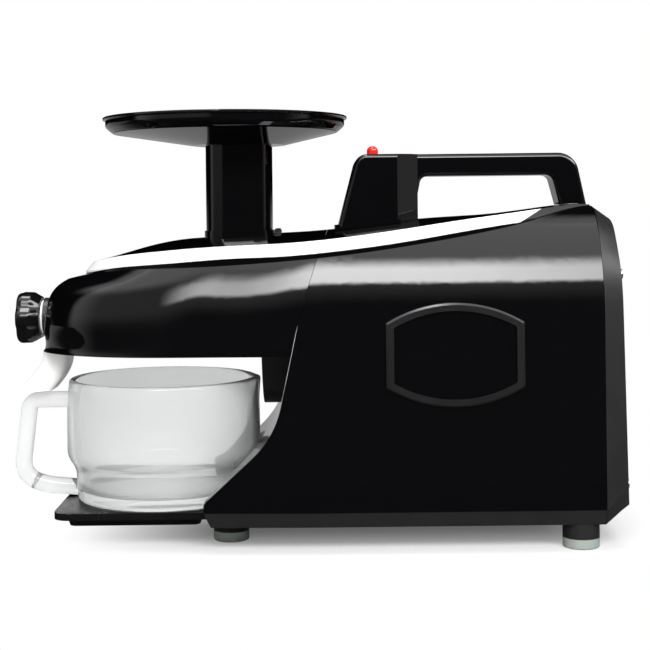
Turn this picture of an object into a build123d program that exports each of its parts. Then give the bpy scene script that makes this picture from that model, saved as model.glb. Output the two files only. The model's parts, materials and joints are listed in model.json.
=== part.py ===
from build123d import *
from math import acos, atan2, cos, degrees, hypot, pi, radians, sin, sqrt, tan
import os

os.makedirs("parts", exist_ok=True)

# Twin-gear cold press juicer, in millimetres.
# +X runs to the rear, +Y away from the badge side, +Z up; the floor is Z = 0.

# ---- Clearances and walls ----
fit_gap = 0.3            # between pieces that are placed against each other
run_gap = 0.05           # radial gap of a shaft in its bearing or bush
skin = 2.8               # wall of the moulded housings and the cover

# ---- Stance, base and housing ----
foot_height = 18.3       # floor to the underside of the base
band_height = 11.1       # height of the slanted base band
band_lean = 4.8          # how far the band slants inwards over that height
base_top = foot_height + band_height
seam_height = 140.0      # joint between the two housing halves
rear_x = 209.0           # rear end of both halves
half_width = 84.0
taper_start_x = 12.0     # from here the plan narrows towards the nose
heel_x = -77.8           # front end of the base
heel_rise = 6.6          # short upright front edge above the base band
knee_x, knee_z, knee_radius = -26.6, 83.3, 70.0      # bend of the jug arch
seam_foot_x = -14.0      # front edge of the housing at the joint height
seam_mid_x, seam_mid_z = -5.5, 176.0
seam_top_x, seam_top_z = 10.4, 223.0
shoulder_start = 165.0   # height where the side walls begin to lean in
shoulder_rise = 84.0
shoulder_reach = 60.0
nose_x = -206.2          # front tip of the cover at its lower edge
nose_lean = 0.1
nose_round_start = 170.0
nose_round_rise = 26.0
nose_round_reach = 22.0
round_limit = 0.92       # share of the nose's rounding that is followed
form_levels = (seam_height, 158, 172, 182, 189, 196, 205, 216, 228, 240, 248)
ledge_line = ((-215, 186), (-190, 193.6), (-158, 200.3), (-85, 204.5), (-32, 207.3),
              (28, 212.6), (82, 220), (131, 228.5), (160, 235), (185, 242), (rear_x, 246))
deck_stations = ((-196, 201, 200.4), (-172, 206.4, 205.8), (-149, 211.9, 209.9),
                 (-114, 221.2, 213.8), (-80, 225.1, 216.9), (-30, 227.6, 219.8),
                 (20, 230.6, 223.9), (79, 237.2, 231), (131, 240.3, 238.3),
                 (172, 244.6, 243.6), (212, 246.9, 246.2))     # X, crown, edge
deck_spread = 1.2        # deck arc half width as a share of half_width
deck_drop = 3.0          # its fall there, in falls at the plateau's edge
plateau_line = ((-172, 0), (-165, 27), (-139, 51), (-85, 61), (12, 65), (82, 62),
                (131, 55), (175, 45), (rear_x, 36))            # half plan of the deck
strip_height = 6.0       # bevelled trim strip round the deck
trim_sink, trim_gap = 1.4, 0.3     # its depth into the corner, and its clearance there
above_all = 270.0

# ---- Rear cover and power inlet ----
cap_depth = 18.7
cap_bevel = 12.5
cap_lean = 4.3           # how far the back face leans forward at its top
vent_count, vent_rows = 9, 2
vent_width, vent_length, vent_pitch = 3.0, 26.0, 7.0
vent_z = 150.0
cap_screw_y = 62.0
cap_screw_z = (44.0, 196.0)
cap_screw_radius = 1.7
inlet_z = 62.0
inlet_width, inlet_height = 32.0, 26.0
inlet_front_x = 230.0
inlet_flange = 4.0         # rim of the inlet round its socket
inlet_wall = 2.0
pin_width, pin_height, pin_space, pin_step = 2.0, 4.0, 6.0, 4.0
inlet_depth = 24.0

# ---- Handle and buttons ----
handle_top, opening_top = 286.7, 269.9
handle_foot_z = 222.0    # the pillars run down to here, and the deck cuts them off
front_foot_edge, front_top_edge = 18.7, 35.8          # X of the handle's straight edges
rear_foot_edge, rear_top_edge = 215.6, 202.0
opening_front_low, opening_front_top = 75.3, 84.9
opening_rear_low, opening_rear_top = 196.4, 183.9
front_corner, rear_corner, opening_corner = 10.0, 16.0, 6.0
grip_half, pillar_half, rear_pillar_half = 15.0, 27.0, 19.0
pillar_edge_x, pillar_end_x = 66.0, 82.0              # the front pillar narrows between
grip_round, pillar_round = 3.5, 3.0
collar_reach, collar_height = 2.0, 3.0
rear_collar_top = 247.0
pillar_roof = 6.0
switch_x, switch_length, switch_half, switch_height = 57.0, 34.0, 11.0, 22.0
button_x, button_radius, button_rise = 48.5, 4.25, 7.0
button_travel = 2.0
button_dome = 0.9        # share of the button's radius that is rounded
reverse_x, reverse_length, reverse_width, reverse_rise = 73.5, 11.0, 8.0, 0.8
reverse_stem_x, button_stem_radius = 70.0, 2.2
reverse_travel, reverse_round = 1.0, 0.6
stem_seat = 1.0          # depth of a button's stem in the switch block at rest

# ---- Badge place on the near side ----
badge_x, badge_z = 102.6, 141.0
badge_length, badge_straight = 98.4, 46.0
badge_height = 74.0
badge_band = 5.6
badge_rise, badge_bevel = 3.2, 1.4
plate_rise = 1.4

# ---- Feet ----
foot_radius = 13.3
pad_height = 7.2
pad_round = 1.2
front_foot_x, front_foot_y = -61.1, 31.0
rear_foot_x, rear_foot_y = 193.7, 66.0
foot_screw_radius = 2.0
screw_head_radius, screw_head_height = 3.6, 2.0
pan_floor = 2.5

# ---- Jug and its ledge ----
jug_x = -114.0
jug_radius = 73.7
jug_rim_radius = 71.3
jug_foot_radius = 67.0
jug_rim_z = 118.4
jug_base_radius, jug_base_rise = 60.0, 7.0            # its rounded foot
jug_glass, jug_floor = 4.0, 5.0
waist_low, waist_high = 48.0, 56.0
belly_top = 98.0
jug_handle_top_x, jug_handle_low_x = -222.5, -230.0   # outer edge, leaning outwards
jug_handle_top, jug_handle_low = 107.5, 28.0
jug_handle_root = -176.0                              # inside the wall of the jug
jug_handle_thick, jug_handle_width = 11.8, 14.0
jug_handle_corner, jug_handle_round = 9.0, 3.5
beak_x, beak_radius, beak_low_radius, beak_low = -54.0, 14.5, 4.0, 97.0
beak_wall = 2.5
ledge_top = 27.0
ledge_low = 22.0
ledge_pan_low = 15.6
ledge_half = 65.0
ledge_front_x = -189.0
ledge_screw_x, ledge_screw_y = -62.0, 12.0
bay_gap = 4.0            # from the jug's belly to the arch wall behind it

# ---- Juicing head ----
axis_z = 165.0           # height of both screws and the knob
screw_spacing = 41.0
screw_lobes = 8
screw_mean, screw_wave = 20.0, 2.0
points_per_lobe = 6
bore_gap = 0.6           # screw tip to chamber bore
chamber_wall = 4.4
screen_wall = 1.8
nose_front_x = -36.0
nose_radius = 67.0
nose_top_z = 193.2
seal_radius = 12.0
nose_bush_x, nose_bush_length = -31.0, 12.0
idler_length = 12.0
chamber_front_x = -84.0
screen_front_x = -158.0
casing_front_x = -193.0
screw_rear_x = -40.0
journal_end_x = -165.7
idler_rear_x, idler_radius = -26.0, 5.0
hex_depth = 14.0
end_wall_x = -168.0
passage_radius, outlet_radius = 9.0, 14.0
cone_tip_x, cone_back_x, cone_radius, hub_half = -163.6, -187.0, 12.0, 8.0
cone_bore = 11.0
slot_columns, slot_rows, slot_width = 4, 6, 1.4
slot_pitch = 14.5
chamber_rear_x = nose_front_x - fit_gap    # rear face, against the drive nose
bore_radius = screw_mean + screw_wave + bore_gap
chute_floor_z = 194.0
stem_end_x = -179.5
spout_mouth_z = 110.0
feed_twist, press_twist = 18.0, 72.0
journal_radius = 8.0
chute_x = -54.0
chute_size, chute_corner, chute_wall = 50.0, 14.0, 2.8
chute_top = 295.0
chute_bore = chute_size - 2 * chute_wall
cover_gap = 0.6          # joint between the cover and the lower edge behind it
rim_width, cover_rim_z = 0.8, 230.2
tab_x, tab_half, tab_top = -24.0, 9.0, 231.4
tab_reach, tab_crest, tab_corner = 3.3, 1.4, 1.6       # half lengths at its foot and crest
chute_clear = 0.5        # between the chute and the cover round it
casing_radius = 18.0
boss_radius = 15.0
boss_front_x = -204.5
washer_radius, washer_thick = 12.8, 2.0
knob_radius, knob_lobes, knob_length = 20.8, 6, 21.5
stem_radius = 5.0
spout_width, spout_depth, spout_wall = 36.0, 19.0, 2.0
throat_front_x, throat_rear_x = -199.4, -174.0        # the passage from casing to spout
throat_drop, throat_floor, throat_step, throat_rise = 0.8, 3.2, 7.4, 12.2
throat_bore = 12.8

# ---- Feed tray ----
tray_x = -64.5
tray_wall_radius = 91.5
tray_lip_reach, tray_lip = 2.0, 2.2     # the rim's overhang and its height
tray_rim_z = 316.8
tray_floor_z, tray_knee_z = 304.5, 309.5
tray_rake = 5.5          # how much smaller the floor is than the wall
hub_radius = 35.5
tray_wall = 2.5
spigot_depth = 12.0

# ---- Motor and gear train ----
motor_y, motor_z = 0.0, 88.0
pinion_teeth, wheel_teeth, first_module = 12, 60, 1.25
lay_teeth, output_teeth, second_module = 20, 60, 1.0
pressure_angle = radians(25)
addendum, dedendum, backlash = 0.8, 1.1, 0.16
case_front_x, case_rear_x, case_wall = 8.0, 50.0, 4.0
stack_front_x, stack_length = 84.0, 56.0
stack_radius, air_gap, rotor_radius = 40.0, 0.6, 26.0
bracket_wall = 3.5
bearing_radius, bearing_width = 11.0, 7.0
motor_shaft_radius, lay_shaft_radius, drive_shaft_radius = 5.0, 4.0, 7.0
fan_radius, fan_blades, fan_width = 33.0, 9, 14.0
bush_radius, lay_bush_radius = 10.0, 7.0
flank_points = 4
first_x, first_face = 34.0, 10.0
second_x, second_face = 16.0, 12.0
drive_rear_x = 31.0
rotor_front_x, rotor_rear_x = 31.0, 188.0
lay_room, output_room, pinion_room = 40.0, 32.2, 16.0   # inner radii of the gear case
coil_length, coil_radius = 18.0, 35.5
cradle_half = 34.0
capacitor_x, capacitor_y, capacitor_z = 90.0, 58.0, 38.0
capacitor_radius, capacitor_length = 14.0, 60.0
hex_flats = 10.0
foot_places = ((front_foot_x, front_foot_y), (rear_foot_x, rear_foot_y))
low_align = (Align.CENTER, Align.CENTER, Align.MIN)
full_width = 2.5 * half_width


def foot_spots(height):
    """The four foot centres at a height."""
    return [(x, side * y, height) for x, y in foot_places for side in (-1, 1)]


# ---------------------------------------------------------------- outer form
def shoulder_inset(z):
    """How far the side wall has come in at a height: a quarter of an ellipse."""
    rise = min(max(z - shoulder_start, 0) / shoulder_rise, 0.995)
    return shoulder_reach * (1 - sqrt(1 - rise * rise))


def nose_inset(z):
    """How far the nose has come back at a height: a lean, then an ellipse."""
    rise = max(z - nose_round_start, 0) / nose_round_rise
    followed = min(rise, round_limit)
    rounding = nose_round_reach * (1 - sqrt(1 - followed * followed))
    beyond = 2.0 * (rise - followed) * nose_round_rise
    return nose_lean * (z - seam_height) + rounding + beyond


def plan_outline(z, inset=0.0, height=None):
    """Plan of the housing and cover together at a height."""
    width = half_width - shoulder_inset(z) - inset
    tip = nose_x + nose_inset(z) + inset
    reach = taper_start_x - tip
    with BuildSketch(Plane.XY.offset(z if height is None else height)) as outline:
        with BuildLine() as half:
            Line((rear_x, 0), (rear_x, width))
            Line((rear_x, width), (taper_start_x, width))
            Spline((taper_start_x, width),
                   (taper_start_x - 0.40 * reach, 0.960 * width),
                   (taper_start_x - 0.742 * reach, 0.835 * width),
                   (taper_start_x - 0.908 * reach, 0.55 * width),
                   (tip, 0), tangents=[(-1, 0), (0, -1)])
            mirror(half.line, about=Plane.XZ)
        make_face()
    return outline.sketch


def shoulder_form(inset=0.0):
    """Leaning side walls from the joint height up to the ledge under the deck."""
    with BuildPart() as shoulder:
        for level in form_levels:
            add(plan_outline(level, inset))
        loft()
        with BuildSketch(Plane.XZ):
            with BuildLine():
                top = Spline(*[(x, z - inset) for x, z in ledge_line])
                Polyline(top @ 1, (rear_x + 10, ledge_line[-1][1] - inset),
                         (rear_x + 10, seam_height - 40), (nose_x - 20, seam_height - 40),
                         (nose_x - 20, ledge_line[0][1] - 4 - inset), top @ 0)
            make_face()
        extrude(amount=2 * half_width, both=True, mode=Mode.INTERSECT)
    return shoulder.part


def plateau_form(inset=0.0, bevel=0.0):
    """Raised deck with a bevel round its edge; an inset one is a plain inner form."""
    with BuildPart() as deck:
        for x, crown, edge in deck_stations:
            side = half_width * deck_spread
            fall = max(crown - edge, 0.4) * deck_drop
            with BuildSketch(Plane.YZ.offset(x)):
                with BuildLine():
                    arc = ThreePointArc((-side, crown - fall - inset), (0, crown - inset),
                                        (side, crown - fall - inset))
                    Polyline(arc @ 1, (side, seam_height), (-side, seam_height), arc @ 0)
                make_face()
        loft()
    step = inset + strip_height if inset else 0.0
    tip_x = plateau_line[0][0]
    edge_points = [(x + step * (rear_x - x) / (rear_x - tip_x), y * (1 - step / half_width))
                   for x, y in reversed(plateau_line)]
    with BuildPart() as plateau:
        with BuildSketch(Plane.XY.offset(seam_height + 20)):
            with BuildLine() as half:
                Line((rear_x, 0), edge_points[0])
                Spline(*edge_points, tangents=[(-1, 0.2), (0, -1)])
                mirror(half.line, about=Plane.XZ)
            make_face()
        extrude(amount=above_all - seam_height)
        add(deck.part, mode=Mode.INTERSECT)
        if bevel:
            rim = plateau.edges().filter_by(
                lambda edge: edge.center().Z > shoulder_start + 20
                and abs(edge.tangent_at(0.5).Z) < 0.6 and edge.center().X < rear_x - 3)
            chamfer(rim, length=bevel)
    return plateau.part


def outer_form(inset=0.0, bevel=0.0):
    """Upper body from the joint height up: leaning walls, ledge, bevelled deck."""
    with BuildPart() as whole:
        add(shoulder_form(inset))
        add(plateau_form(inset, bevel))
    return whole.part


def behind_front(shift=0.0):
    """Side view of all that lies behind the housing's front edge."""
    with BuildSketch(Plane.XZ.offset(-full_width)) as area:
        with BuildLine():
            arch = FilletPolyline((heel_x + shift, 0), (heel_x + shift, base_top + heel_rise),
                                  (knee_x + shift, knee_z), (seam_foot_x + shift, seam_height),
                                  radius=[3.0, knee_radius])
            edge = ThreePointArc(arch @ 1, (seam_mid_x + shift, seam_mid_z),
                                 (seam_top_x + shift, seam_top_z))
            Polyline(edge @ 1, edge @ 1 + edge % 1 * (above_all - seam_top_z),
                     (rear_x + 60, above_all), (rear_x + 60, 0), arch @ 0)
        make_face()
    return area.sketch


def side_region(shift=0.0):
    """Solid of all that lies behind the housing's front edge."""
    with BuildPart() as region:
        extrude(behind_front(shift), amount=2 * full_width)
    return region.part


def bar(start, end, y, z, radius):
    """Round bar along the shafts, centred on (y, z)."""
    with BuildPart() as piece:
        with BuildSketch(Plane.YZ.offset(start)):
            with Locations((y, z)):
                Circle(radius)
        extrude(amount=end - start)
    return piece.part


def hull_bar(start, end, circles, grow=0.0):
    """Bar whose section is the hull of circles given as (y, z, radius)."""
    with BuildPart() as piece:
        with BuildSketch(Plane.YZ.offset(start)) as section:
            for y, z, radius in circles:
                with Locations((y, z)):
                    Circle(radius + grow)
            make_hull(section.edges())
        extrude(amount=end - start)
    return piece.part


def slab(start, end, side, low, high):
    """Block from x start to end, side to each side of the middle, z low to high."""
    with BuildPart() as piece:
        with Locations(((start + end) / 2, 0, (low + high) / 2)):
            Box(end - start, 2 * side, high - low)
    return piece.part


cover_bottom = seam_height + cover_gap
tray_lip_radius = tray_wall_radius + tray_lip_reach
tray_floor_radius = tray_wall_radius - tray_rake
form = outer_form(0.0, strip_height + trim_sink + trim_gap)
form_inside = outer_form(skin)
behind = side_region()

# ------------------------------------------------------------------- housing
with BuildPart() as bay:
    with Locations((jug_x, 0, foot_height - 1)):
        Cylinder(jug_radius + bay_gap, above_all, align=low_align)

with BuildPart() as bay_wall:
    with Locations((jug_x, 0, foot_height - 1)):
        Cylinder(jug_radius + bay_gap + skin, above_all, align=low_align)

with BuildPart() as lower_room:
    add(plan_outline(seam_height, skin, base_top - 1))
    extrude(amount=seam_height - base_top + 2)
    add(side_region(1.4 * skin), mode=Mode.INTERSECT)
    add(bay_wall.part, mode=Mode.SUBTRACT)

with BuildPart() as lower_housing:
    add(plan_outline(seam_height, 0, base_top))
    extrude(amount=seam_height - base_top)
    add(behind, mode=Mode.INTERSECT)
    add(bay.part, mode=Mode.SUBTRACT)
    add(lower_room.part, mode=Mode.SUBTRACT)
lower_housing.part.label = "lower_housing"
export_step(lower_housing.part, "parts/lower_housing.step")

with BuildPart() as upper_room:
    add(form_inside)
    add(side_region(1.2 * skin), mode=Mode.INTERSECT)

with BuildPart() as upper_housing:
    add(form)
    add(behind, mode=Mode.INTERSECT)
    add(upper_room.part, mode=Mode.SUBTRACT)
    add(bar(seam_foot_x, case_front_x, -screw_spacing / 2, axis_z, drive_shaft_radius + 1),
        mode=Mode.SUBTRACT)
upper_housing.part.label = "upper_housing"
export_step(upper_housing.part, "parts/upper_housing.step")

with BuildPart() as base_pan:
    add(plan_outline(seam_height, 0, base_top))
    add(plan_outline(seam_height, band_lean, foot_height))
    loft(ruled=True)
    with BuildSketch(Plane.XZ):
        with BuildLine():
            Polyline((heel_x, base_top), (heel_x + band_lean, foot_height),
                     (rear_x + cap_depth, foot_height), (rear_x + cap_depth, base_top),
                     (heel_x, base_top))
        make_face()
    extrude(amount=full_width, both=True, mode=Mode.INTERSECT)
    with BuildSketch(Plane.XY.offset(foot_height + pan_floor)):
        add(plan_outline(seam_height, 2 * skin, foot_height + pan_floor))
        with Locations((heel_x + 2 * skin, 0)):
            Rectangle(2 * full_width, full_width, align=(Align.MIN, Align.CENTER),
                      mode=Mode.INTERSECT)
        with Locations((jug_x, 0)):
            Circle(jug_radius + bay_gap + skin, mode=Mode.SUBTRACT)
        with Locations((rear_x - skin, 0)):
            Rectangle(full_width, full_width, align=(Align.MIN, Align.CENTER),
                      mode=Mode.SUBTRACT)
    extrude(amount=band_height, mode=Mode.SUBTRACT)
    with BuildSketch(Plane.XY.offset(ledge_low - fit_gap)):
        with Locations((jug_x, 0)):
            Circle(jug_radius + bay_gap)
    extrude(amount=band_height, mode=Mode.SUBTRACT)
    with Locations(*foot_spots(foot_height)):
        Cylinder(foot_screw_radius, 3 * pan_floor, mode=Mode.SUBTRACT)
    with Locations(*[(ledge_screw_x, side * ledge_screw_y, foot_height) for side in (-1, 1)]):
        Cylinder(foot_screw_radius + fit_gap, band_height, mode=Mode.SUBTRACT)
        Cylinder(screw_head_radius + fit_gap, 2 * screw_head_height, mode=Mode.SUBTRACT)
    with BuildSketch(Plane.XY.offset(foot_height)):
        with Locations((stack_front_x + stack_length / 2 + 58, 0)):
            with GridLocations(vent_pitch, 1, 7, 1):
                SlotOverall(vent_length, vent_width, rotation=90)
    extrude(amount=pan_floor, mode=Mode.SUBTRACT)
base_pan.part.label = "base_pan"
export_step(base_pan.part, "parts/base_pan.step")

with BuildPart() as trim_ring:
    add(plateau_form(0.0, strip_height))
    add(plateau_form(0.0, strip_height + trim_sink), mode=Mode.SUBTRACT)
    add(shoulder_form().moved(Location((0, 0, trim_gap))), mode=Mode.SUBTRACT)

with BuildPart() as housing_trim:
    add(trim_ring.part)
    add(behind, mode=Mode.INTERSECT)
housing_trim.part.label = "housing_trim"
export_step(housing_trim.part, "parts/housing_trim.step")

with BuildPart() as cover_trim:
    add(trim_ring.part)
    add(side_region(-fit_gap), mode=Mode.SUBTRACT)
cover_trim.part.label = "cover_trim"
export_step(cover_trim.part, "parts/cover_trim.step")


def cap_outline(x, inset=0.0):
    """Section of the rear cover across the body, shrunk by inset."""
    side = half_width - inset
    low = foot_height + inset
    top = ledge_line[-1][1] - inset
    flat = plateau_line[-1][1] - inset / 2
    lean = band_lean * (1 - inset / band_height) if inset < band_height else 0.0
    with BuildSketch(Plane.YZ.offset(x)) as outline:
        with BuildLine() as half:
            Polyline((0, low), (side - lean, low), (side, max(base_top, low + 0.5)),
                     (side, shoulder_start))
            Spline((side, shoulder_start),
                   (side - shoulder_inset(200), 200), (side - shoulder_inset(226), 226 - inset / 2),
                   (flat, top), tangents=[(0, 1), (-1, 0.12)])
            Line((flat, top), (0, top))
            mirror(half.line, about=Plane.YZ)
        make_face()
    return outline.sketch


with BuildPart() as cap_block:
    add(cap_outline(rear_x + fit_gap))
    add(cap_outline(rear_x + cap_depth, cap_bevel))
    loft(ruled=True)

with BuildPart() as cap_hollow:
    hollow_depth = cap_depth - cap_lean - skin
    add(cap_outline(rear_x, 1.5 * skin))
    add(cap_outline(rear_x + hollow_depth, cap_bevel * hollow_depth / cap_depth + 1.5 * skin))
    loft(ruled=True)

with BuildPart() as rear_cover:
    add(cap_block.part)
    with BuildSketch(Plane.XZ):
        with BuildLine():
            Polyline((rear_x + cap_depth - cap_lean, above_all),
                     (rear_x + cap_depth - cap_lean, ledge_line[-1][1] - cap_bevel),
                     (rear_x + cap_depth, base_top), (rear_x + 2 * cap_depth, base_top),
                     (rear_x + 2 * cap_depth, above_all),
                     (rear_x + cap_depth - cap_lean, above_all))
        make_face()
    extrude(amount=full_width, both=True, mode=Mode.SUBTRACT)
    add(cap_hollow.part, mode=Mode.SUBTRACT)
    with BuildSketch(Plane.YZ.offset(rear_x)):
        with Locations((0, vent_z)):
            with GridLocations(vent_length + vent_pitch, vent_pitch, vent_rows, vent_count):
                SlotOverall(vent_length, vent_width)
        with Locations((0, inlet_z)):
            RectangleRounded(inlet_width - 2 * (inlet_flange - fit_gap),
                             inlet_height - 2 * (inlet_flange - fit_gap), 3)
    extrude(amount=2 * cap_depth, mode=Mode.SUBTRACT)
    with BuildSketch(Plane.YZ.offset(rear_x)):
        with Locations(*[(side * cap_screw_y, z) for side in (-1, 1) for z in cap_screw_z]):
            Circle(cap_screw_radius + fit_gap)
    extrude(amount=2 * cap_depth, mode=Mode.SUBTRACT)
rear_cover.part.label = "rear_cover"
export_step(rear_cover.part, "parts/rear_cover.step")

socket_width = inlet_width - 2 * inlet_flange
socket_height = inlet_height - 2 * inlet_flange
with BuildPart() as power_inlet:
    flange_x = rear_x + cap_depth + fit_gap
    with BuildSketch(Plane.YZ.offset(flange_x)):
        with Locations((0, inlet_z)):
            RectangleRounded(inlet_width, inlet_height, 5)
    extrude(amount=inlet_front_x - flange_x)
    with BuildSketch(Plane.YZ.offset(flange_x)):
        with Locations((0, inlet_z)):
            RectangleRounded(socket_width, socket_height, 3)
    extrude(amount=-inlet_depth)
    with BuildSketch(Plane.YZ.offset(inlet_front_x)):
        with Locations((0, inlet_z)):
            RectangleRounded(socket_width - 2 * inlet_wall, socket_height - 2 * inlet_wall, 2.5)
    extrude(amount=-(inlet_depth - inlet_wall), mode=Mode.SUBTRACT)
    with BuildSketch(Plane.YZ.offset(inlet_front_x - inlet_depth)):
        with Locations((-pin_space, inlet_z - pin_step / 2), (0, inlet_z + pin_step / 2),
                       (pin_space, inlet_z - pin_step / 2)):
            Rectangle(pin_width, pin_height)
    extrude(amount=inlet_depth - 2 * inlet_wall)
power_inlet.part.label = "power_inlet"
export_step(power_inlet.part, "parts/power_inlet.step")

with BuildPart() as cover_screws:
    for side in (-1, 1):
        for z in cap_screw_z:
            back = rear_x + cap_depth - cap_lean * (z - base_top) / (ledge_line[-1][1] - base_top)
            with BuildSketch(Plane.YZ.offset(back + fit_gap)):
                with Locations((side * cap_screw_y, z)):
                    Circle(2.1 * cap_screw_radius)
            extrude(amount=1.6)
            with BuildSketch(Plane.YZ.offset(back + fit_gap)):
                with Locations((side * cap_screw_y, z)):
                    Circle(cap_screw_radius)
            extrude(amount=-16)
cover_screws.part.label = "cover_screws"
export_step(cover_screws.part, "parts/cover_screws.step")

# -------------------------------------------------------------------- handle
deck_clear = form.moved(Location((0, 0, fit_gap)))
cap_clear = cap_block.part.moved(Location((-fit_gap, 0, fit_gap)))

with BuildPart() as front_collar:
    with BuildSketch(Plane.XY.offset(handle_foot_z)):
        with Locations((front_foot_edge, 0)):
            Rectangle(pillar_edge_x - front_foot_edge + collar_reach,
                      2 * (pillar_half + collar_reach), align=(Align.MIN, Align.CENTER))
    extrude(amount=handle_top - handle_foot_z)
    add(form.moved(Location((0, 0, collar_height))), mode=Mode.INTERSECT)

with BuildPart() as front_pillar:
    with BuildSketch(Plane.XZ):
        with BuildLine():
            FilletPolyline((front_foot_edge, handle_foot_z), (front_top_edge, handle_top),
                           (pillar_end_x, handle_top), (pillar_end_x, handle_foot_z),
                           close=True, radius=[0, front_corner, 0, 0])
        make_face()
    extrude(amount=pillar_half, both=True)
    with BuildSketch(Plane.XY.offset(handle_foot_z - 1)):
        Polygon((0, -pillar_half), (pillar_edge_x, -pillar_half), (pillar_end_x, -grip_half),
                (pillar_end_x, grip_half), (pillar_edge_x, pillar_half), (0, pillar_half),
                align=None)
    extrude(amount=above_all, mode=Mode.INTERSECT)
    rounded = front_pillar.edges().filter_by(
        lambda edge: abs(edge.center().Y) > pillar_half - 0.1
        and edge.center().Z > handle_foot_z + 1 and edge.center().X < pillar_edge_x - 0.1)
    fillet(rounded, pillar_round)

with BuildPart() as handle:
    with BuildSketch(Plane.XZ):
        with BuildLine():
            FilletPolyline((front_foot_edge, handle_foot_z), (front_top_edge, handle_top),
                           (rear_top_edge, handle_top), (rear_foot_edge, handle_foot_z),
                           (opening_rear_low, handle_foot_z), (opening_rear_top, opening_top),
                           (opening_front_top, opening_top), (opening_front_low, handle_foot_z),
                           close=True, radius=[0, front_corner, rear_corner, 0, 0,
                                               opening_corner, opening_corner, 0])
        make_face()
    extrude(amount=grip_half, both=True)
    rounded = handle.edges().filter_by(
        lambda edge: abs(edge.center().Y) > grip_half - 0.1
        and edge.center().Z > handle_foot_z + 1)
    fillet(rounded, grip_round)
    add(front_pillar.part)
    with BuildSketch(Plane.XY.offset(handle_foot_z)):
        with Locations((opening_rear_low - 2 * collar_reach, 0)):
            Rectangle(rear_foot_edge - opening_rear_low, 2 * rear_pillar_half,
                      align=(Align.MIN, Align.CENTER))
    extrude(amount=rear_collar_top - handle_foot_z)
    add(front_collar.part)
    add(deck_clear, mode=Mode.SUBTRACT)
    add(cap_clear, mode=Mode.SUBTRACT)
    with BuildSketch(Plane.XY.offset(handle_top - pillar_roof)):
        with Locations((switch_x, 0)):
            Rectangle(switch_length + 2, 2 * switch_half + 2)
    extrude(amount=-2 * switch_height, mode=Mode.SUBTRACT)
    with BuildSketch(Plane.XY.offset(handle_top + 1)):
        with Locations((button_x, 0)):
            Circle(button_radius + fit_gap)
        with Locations((reverse_x, 0)):
            Rectangle(reverse_length + 2 * fit_gap, reverse_width + 2 * fit_gap)
    extrude(amount=-2 * pillar_roof, mode=Mode.SUBTRACT)
handle.part.label = "handle"
export_step(handle.part, "parts/handle.step")

switch_top = handle_top - pillar_roof - fit_gap
with BuildPart() as switch_block:
    with BuildSketch(Plane.XY.offset(switch_top)):
        with Locations((switch_x, 0)):
            RectangleRounded(switch_length, 2 * switch_half, 2)
    extrude(amount=-switch_height)
    with BuildSketch(Plane.XY.offset(switch_top)):
        with Locations((button_x, 0), (reverse_stem_x, 0)):
            Circle(button_stem_radius + fit_gap)
    extrude(amount=-button_travel - 2 * stem_seat, mode=Mode.SUBTRACT)
switch_block.part.label = "switch_block"
export_step(switch_block.part, "parts/switch_block.step")

with BuildPart() as power_button:
    with Locations((button_x, 0, switch_top - stem_seat)):
        Cylinder(button_stem_radius, button_travel + 2 * stem_seat, align=low_align)
    button_low = switch_top + button_travel + fit_gap
    with Locations((button_x, 0, button_low)):
        Cylinder(button_radius, handle_top + button_rise - button_low, align=low_align)
    fillet(power_button.faces().sort_by(Axis.Z)[-1].edges(), button_dome * button_radius)
power_button.part.label = "power_button"
export_step(power_button.part, "parts/power_button.step")

with BuildPart() as reverse_button:
    with Locations((reverse_stem_x, 0, switch_top - stem_seat)):
        Cylinder(button_stem_radius, reverse_travel + 2 * stem_seat, align=low_align)
    reverse_low = switch_top + reverse_travel + fit_gap
    with Locations((reverse_x, 0, reverse_low)):
        Box(reverse_length, reverse_width, handle_top + reverse_rise - reverse_low,
            align=low_align)
    fillet(reverse_button.faces().sort_by(Axis.Z)[-1].edges(), reverse_round)
reverse_button.part.label = "reverse_button"
export_step(reverse_button.part, "parts/reverse_button.step")

# --------------------------------------------------------------- badge place
def badge_outline(shrink=0.0, lift=0.0):
    """Straight ends, arched top and bottom, lifted off the wall."""
    side = badge_length / 2 - shrink
    straight = badge_straight / 2 - shrink * 0.6
    high = badge_height / 2 - shrink
    with BuildSketch(Plane.XZ.offset(half_width + fit_gap / 2 + lift)) as outline:
        with BuildLine():
            upper = ThreePointArc((badge_x - side, badge_z + straight),
                                  (badge_x, badge_z + high), (badge_x + side, badge_z + straight))
            lower = ThreePointArc((badge_x + side, badge_z - straight),
                                  (badge_x, badge_z - high), (badge_x - side, badge_z - straight))
            Line(upper @ 1, lower @ 0)
            Line(lower @ 1, upper @ 0)
        make_face()
    return outline.sketch


with BuildPart() as badge_frame:
    extrude(badge_outline(), amount=badge_rise - badge_bevel)
    add(badge_outline(0, badge_rise - badge_bevel))
    add(badge_outline(badge_bevel, badge_rise))
    loft(ruled=True)
    extrude(badge_outline(badge_band, -1), amount=2 * badge_rise, mode=Mode.SUBTRACT)
badge_frame.part.label = "badge_frame"
export_step(badge_frame.part, "parts/badge_frame.step")

with BuildPart() as badge_plate:
    extrude(badge_outline(badge_band + fit_gap), amount=plate_rise)
badge_plate.part.label = "badge_plate"
export_step(badge_plate.part, "parts/badge_plate.step")

# ---------------------------------------------------------------------- feet
with BuildPart() as foot_stems:
    with Locations(*foot_spots(pad_height)):
        Cylinder(foot_radius, foot_height - pad_height, align=low_align)
    with Locations(*foot_spots(pad_height - 1)):
        Cylinder(screw_head_radius + fit_gap, screw_head_height + 1 + fit_gap,
                 align=low_align, mode=Mode.SUBTRACT)
        Cylinder(foot_screw_radius, foot_height, align=low_align, mode=Mode.SUBTRACT)
foot_stems.part.label = "foot_stems"
export_step(foot_stems.part, "parts/foot_stems.step")

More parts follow.
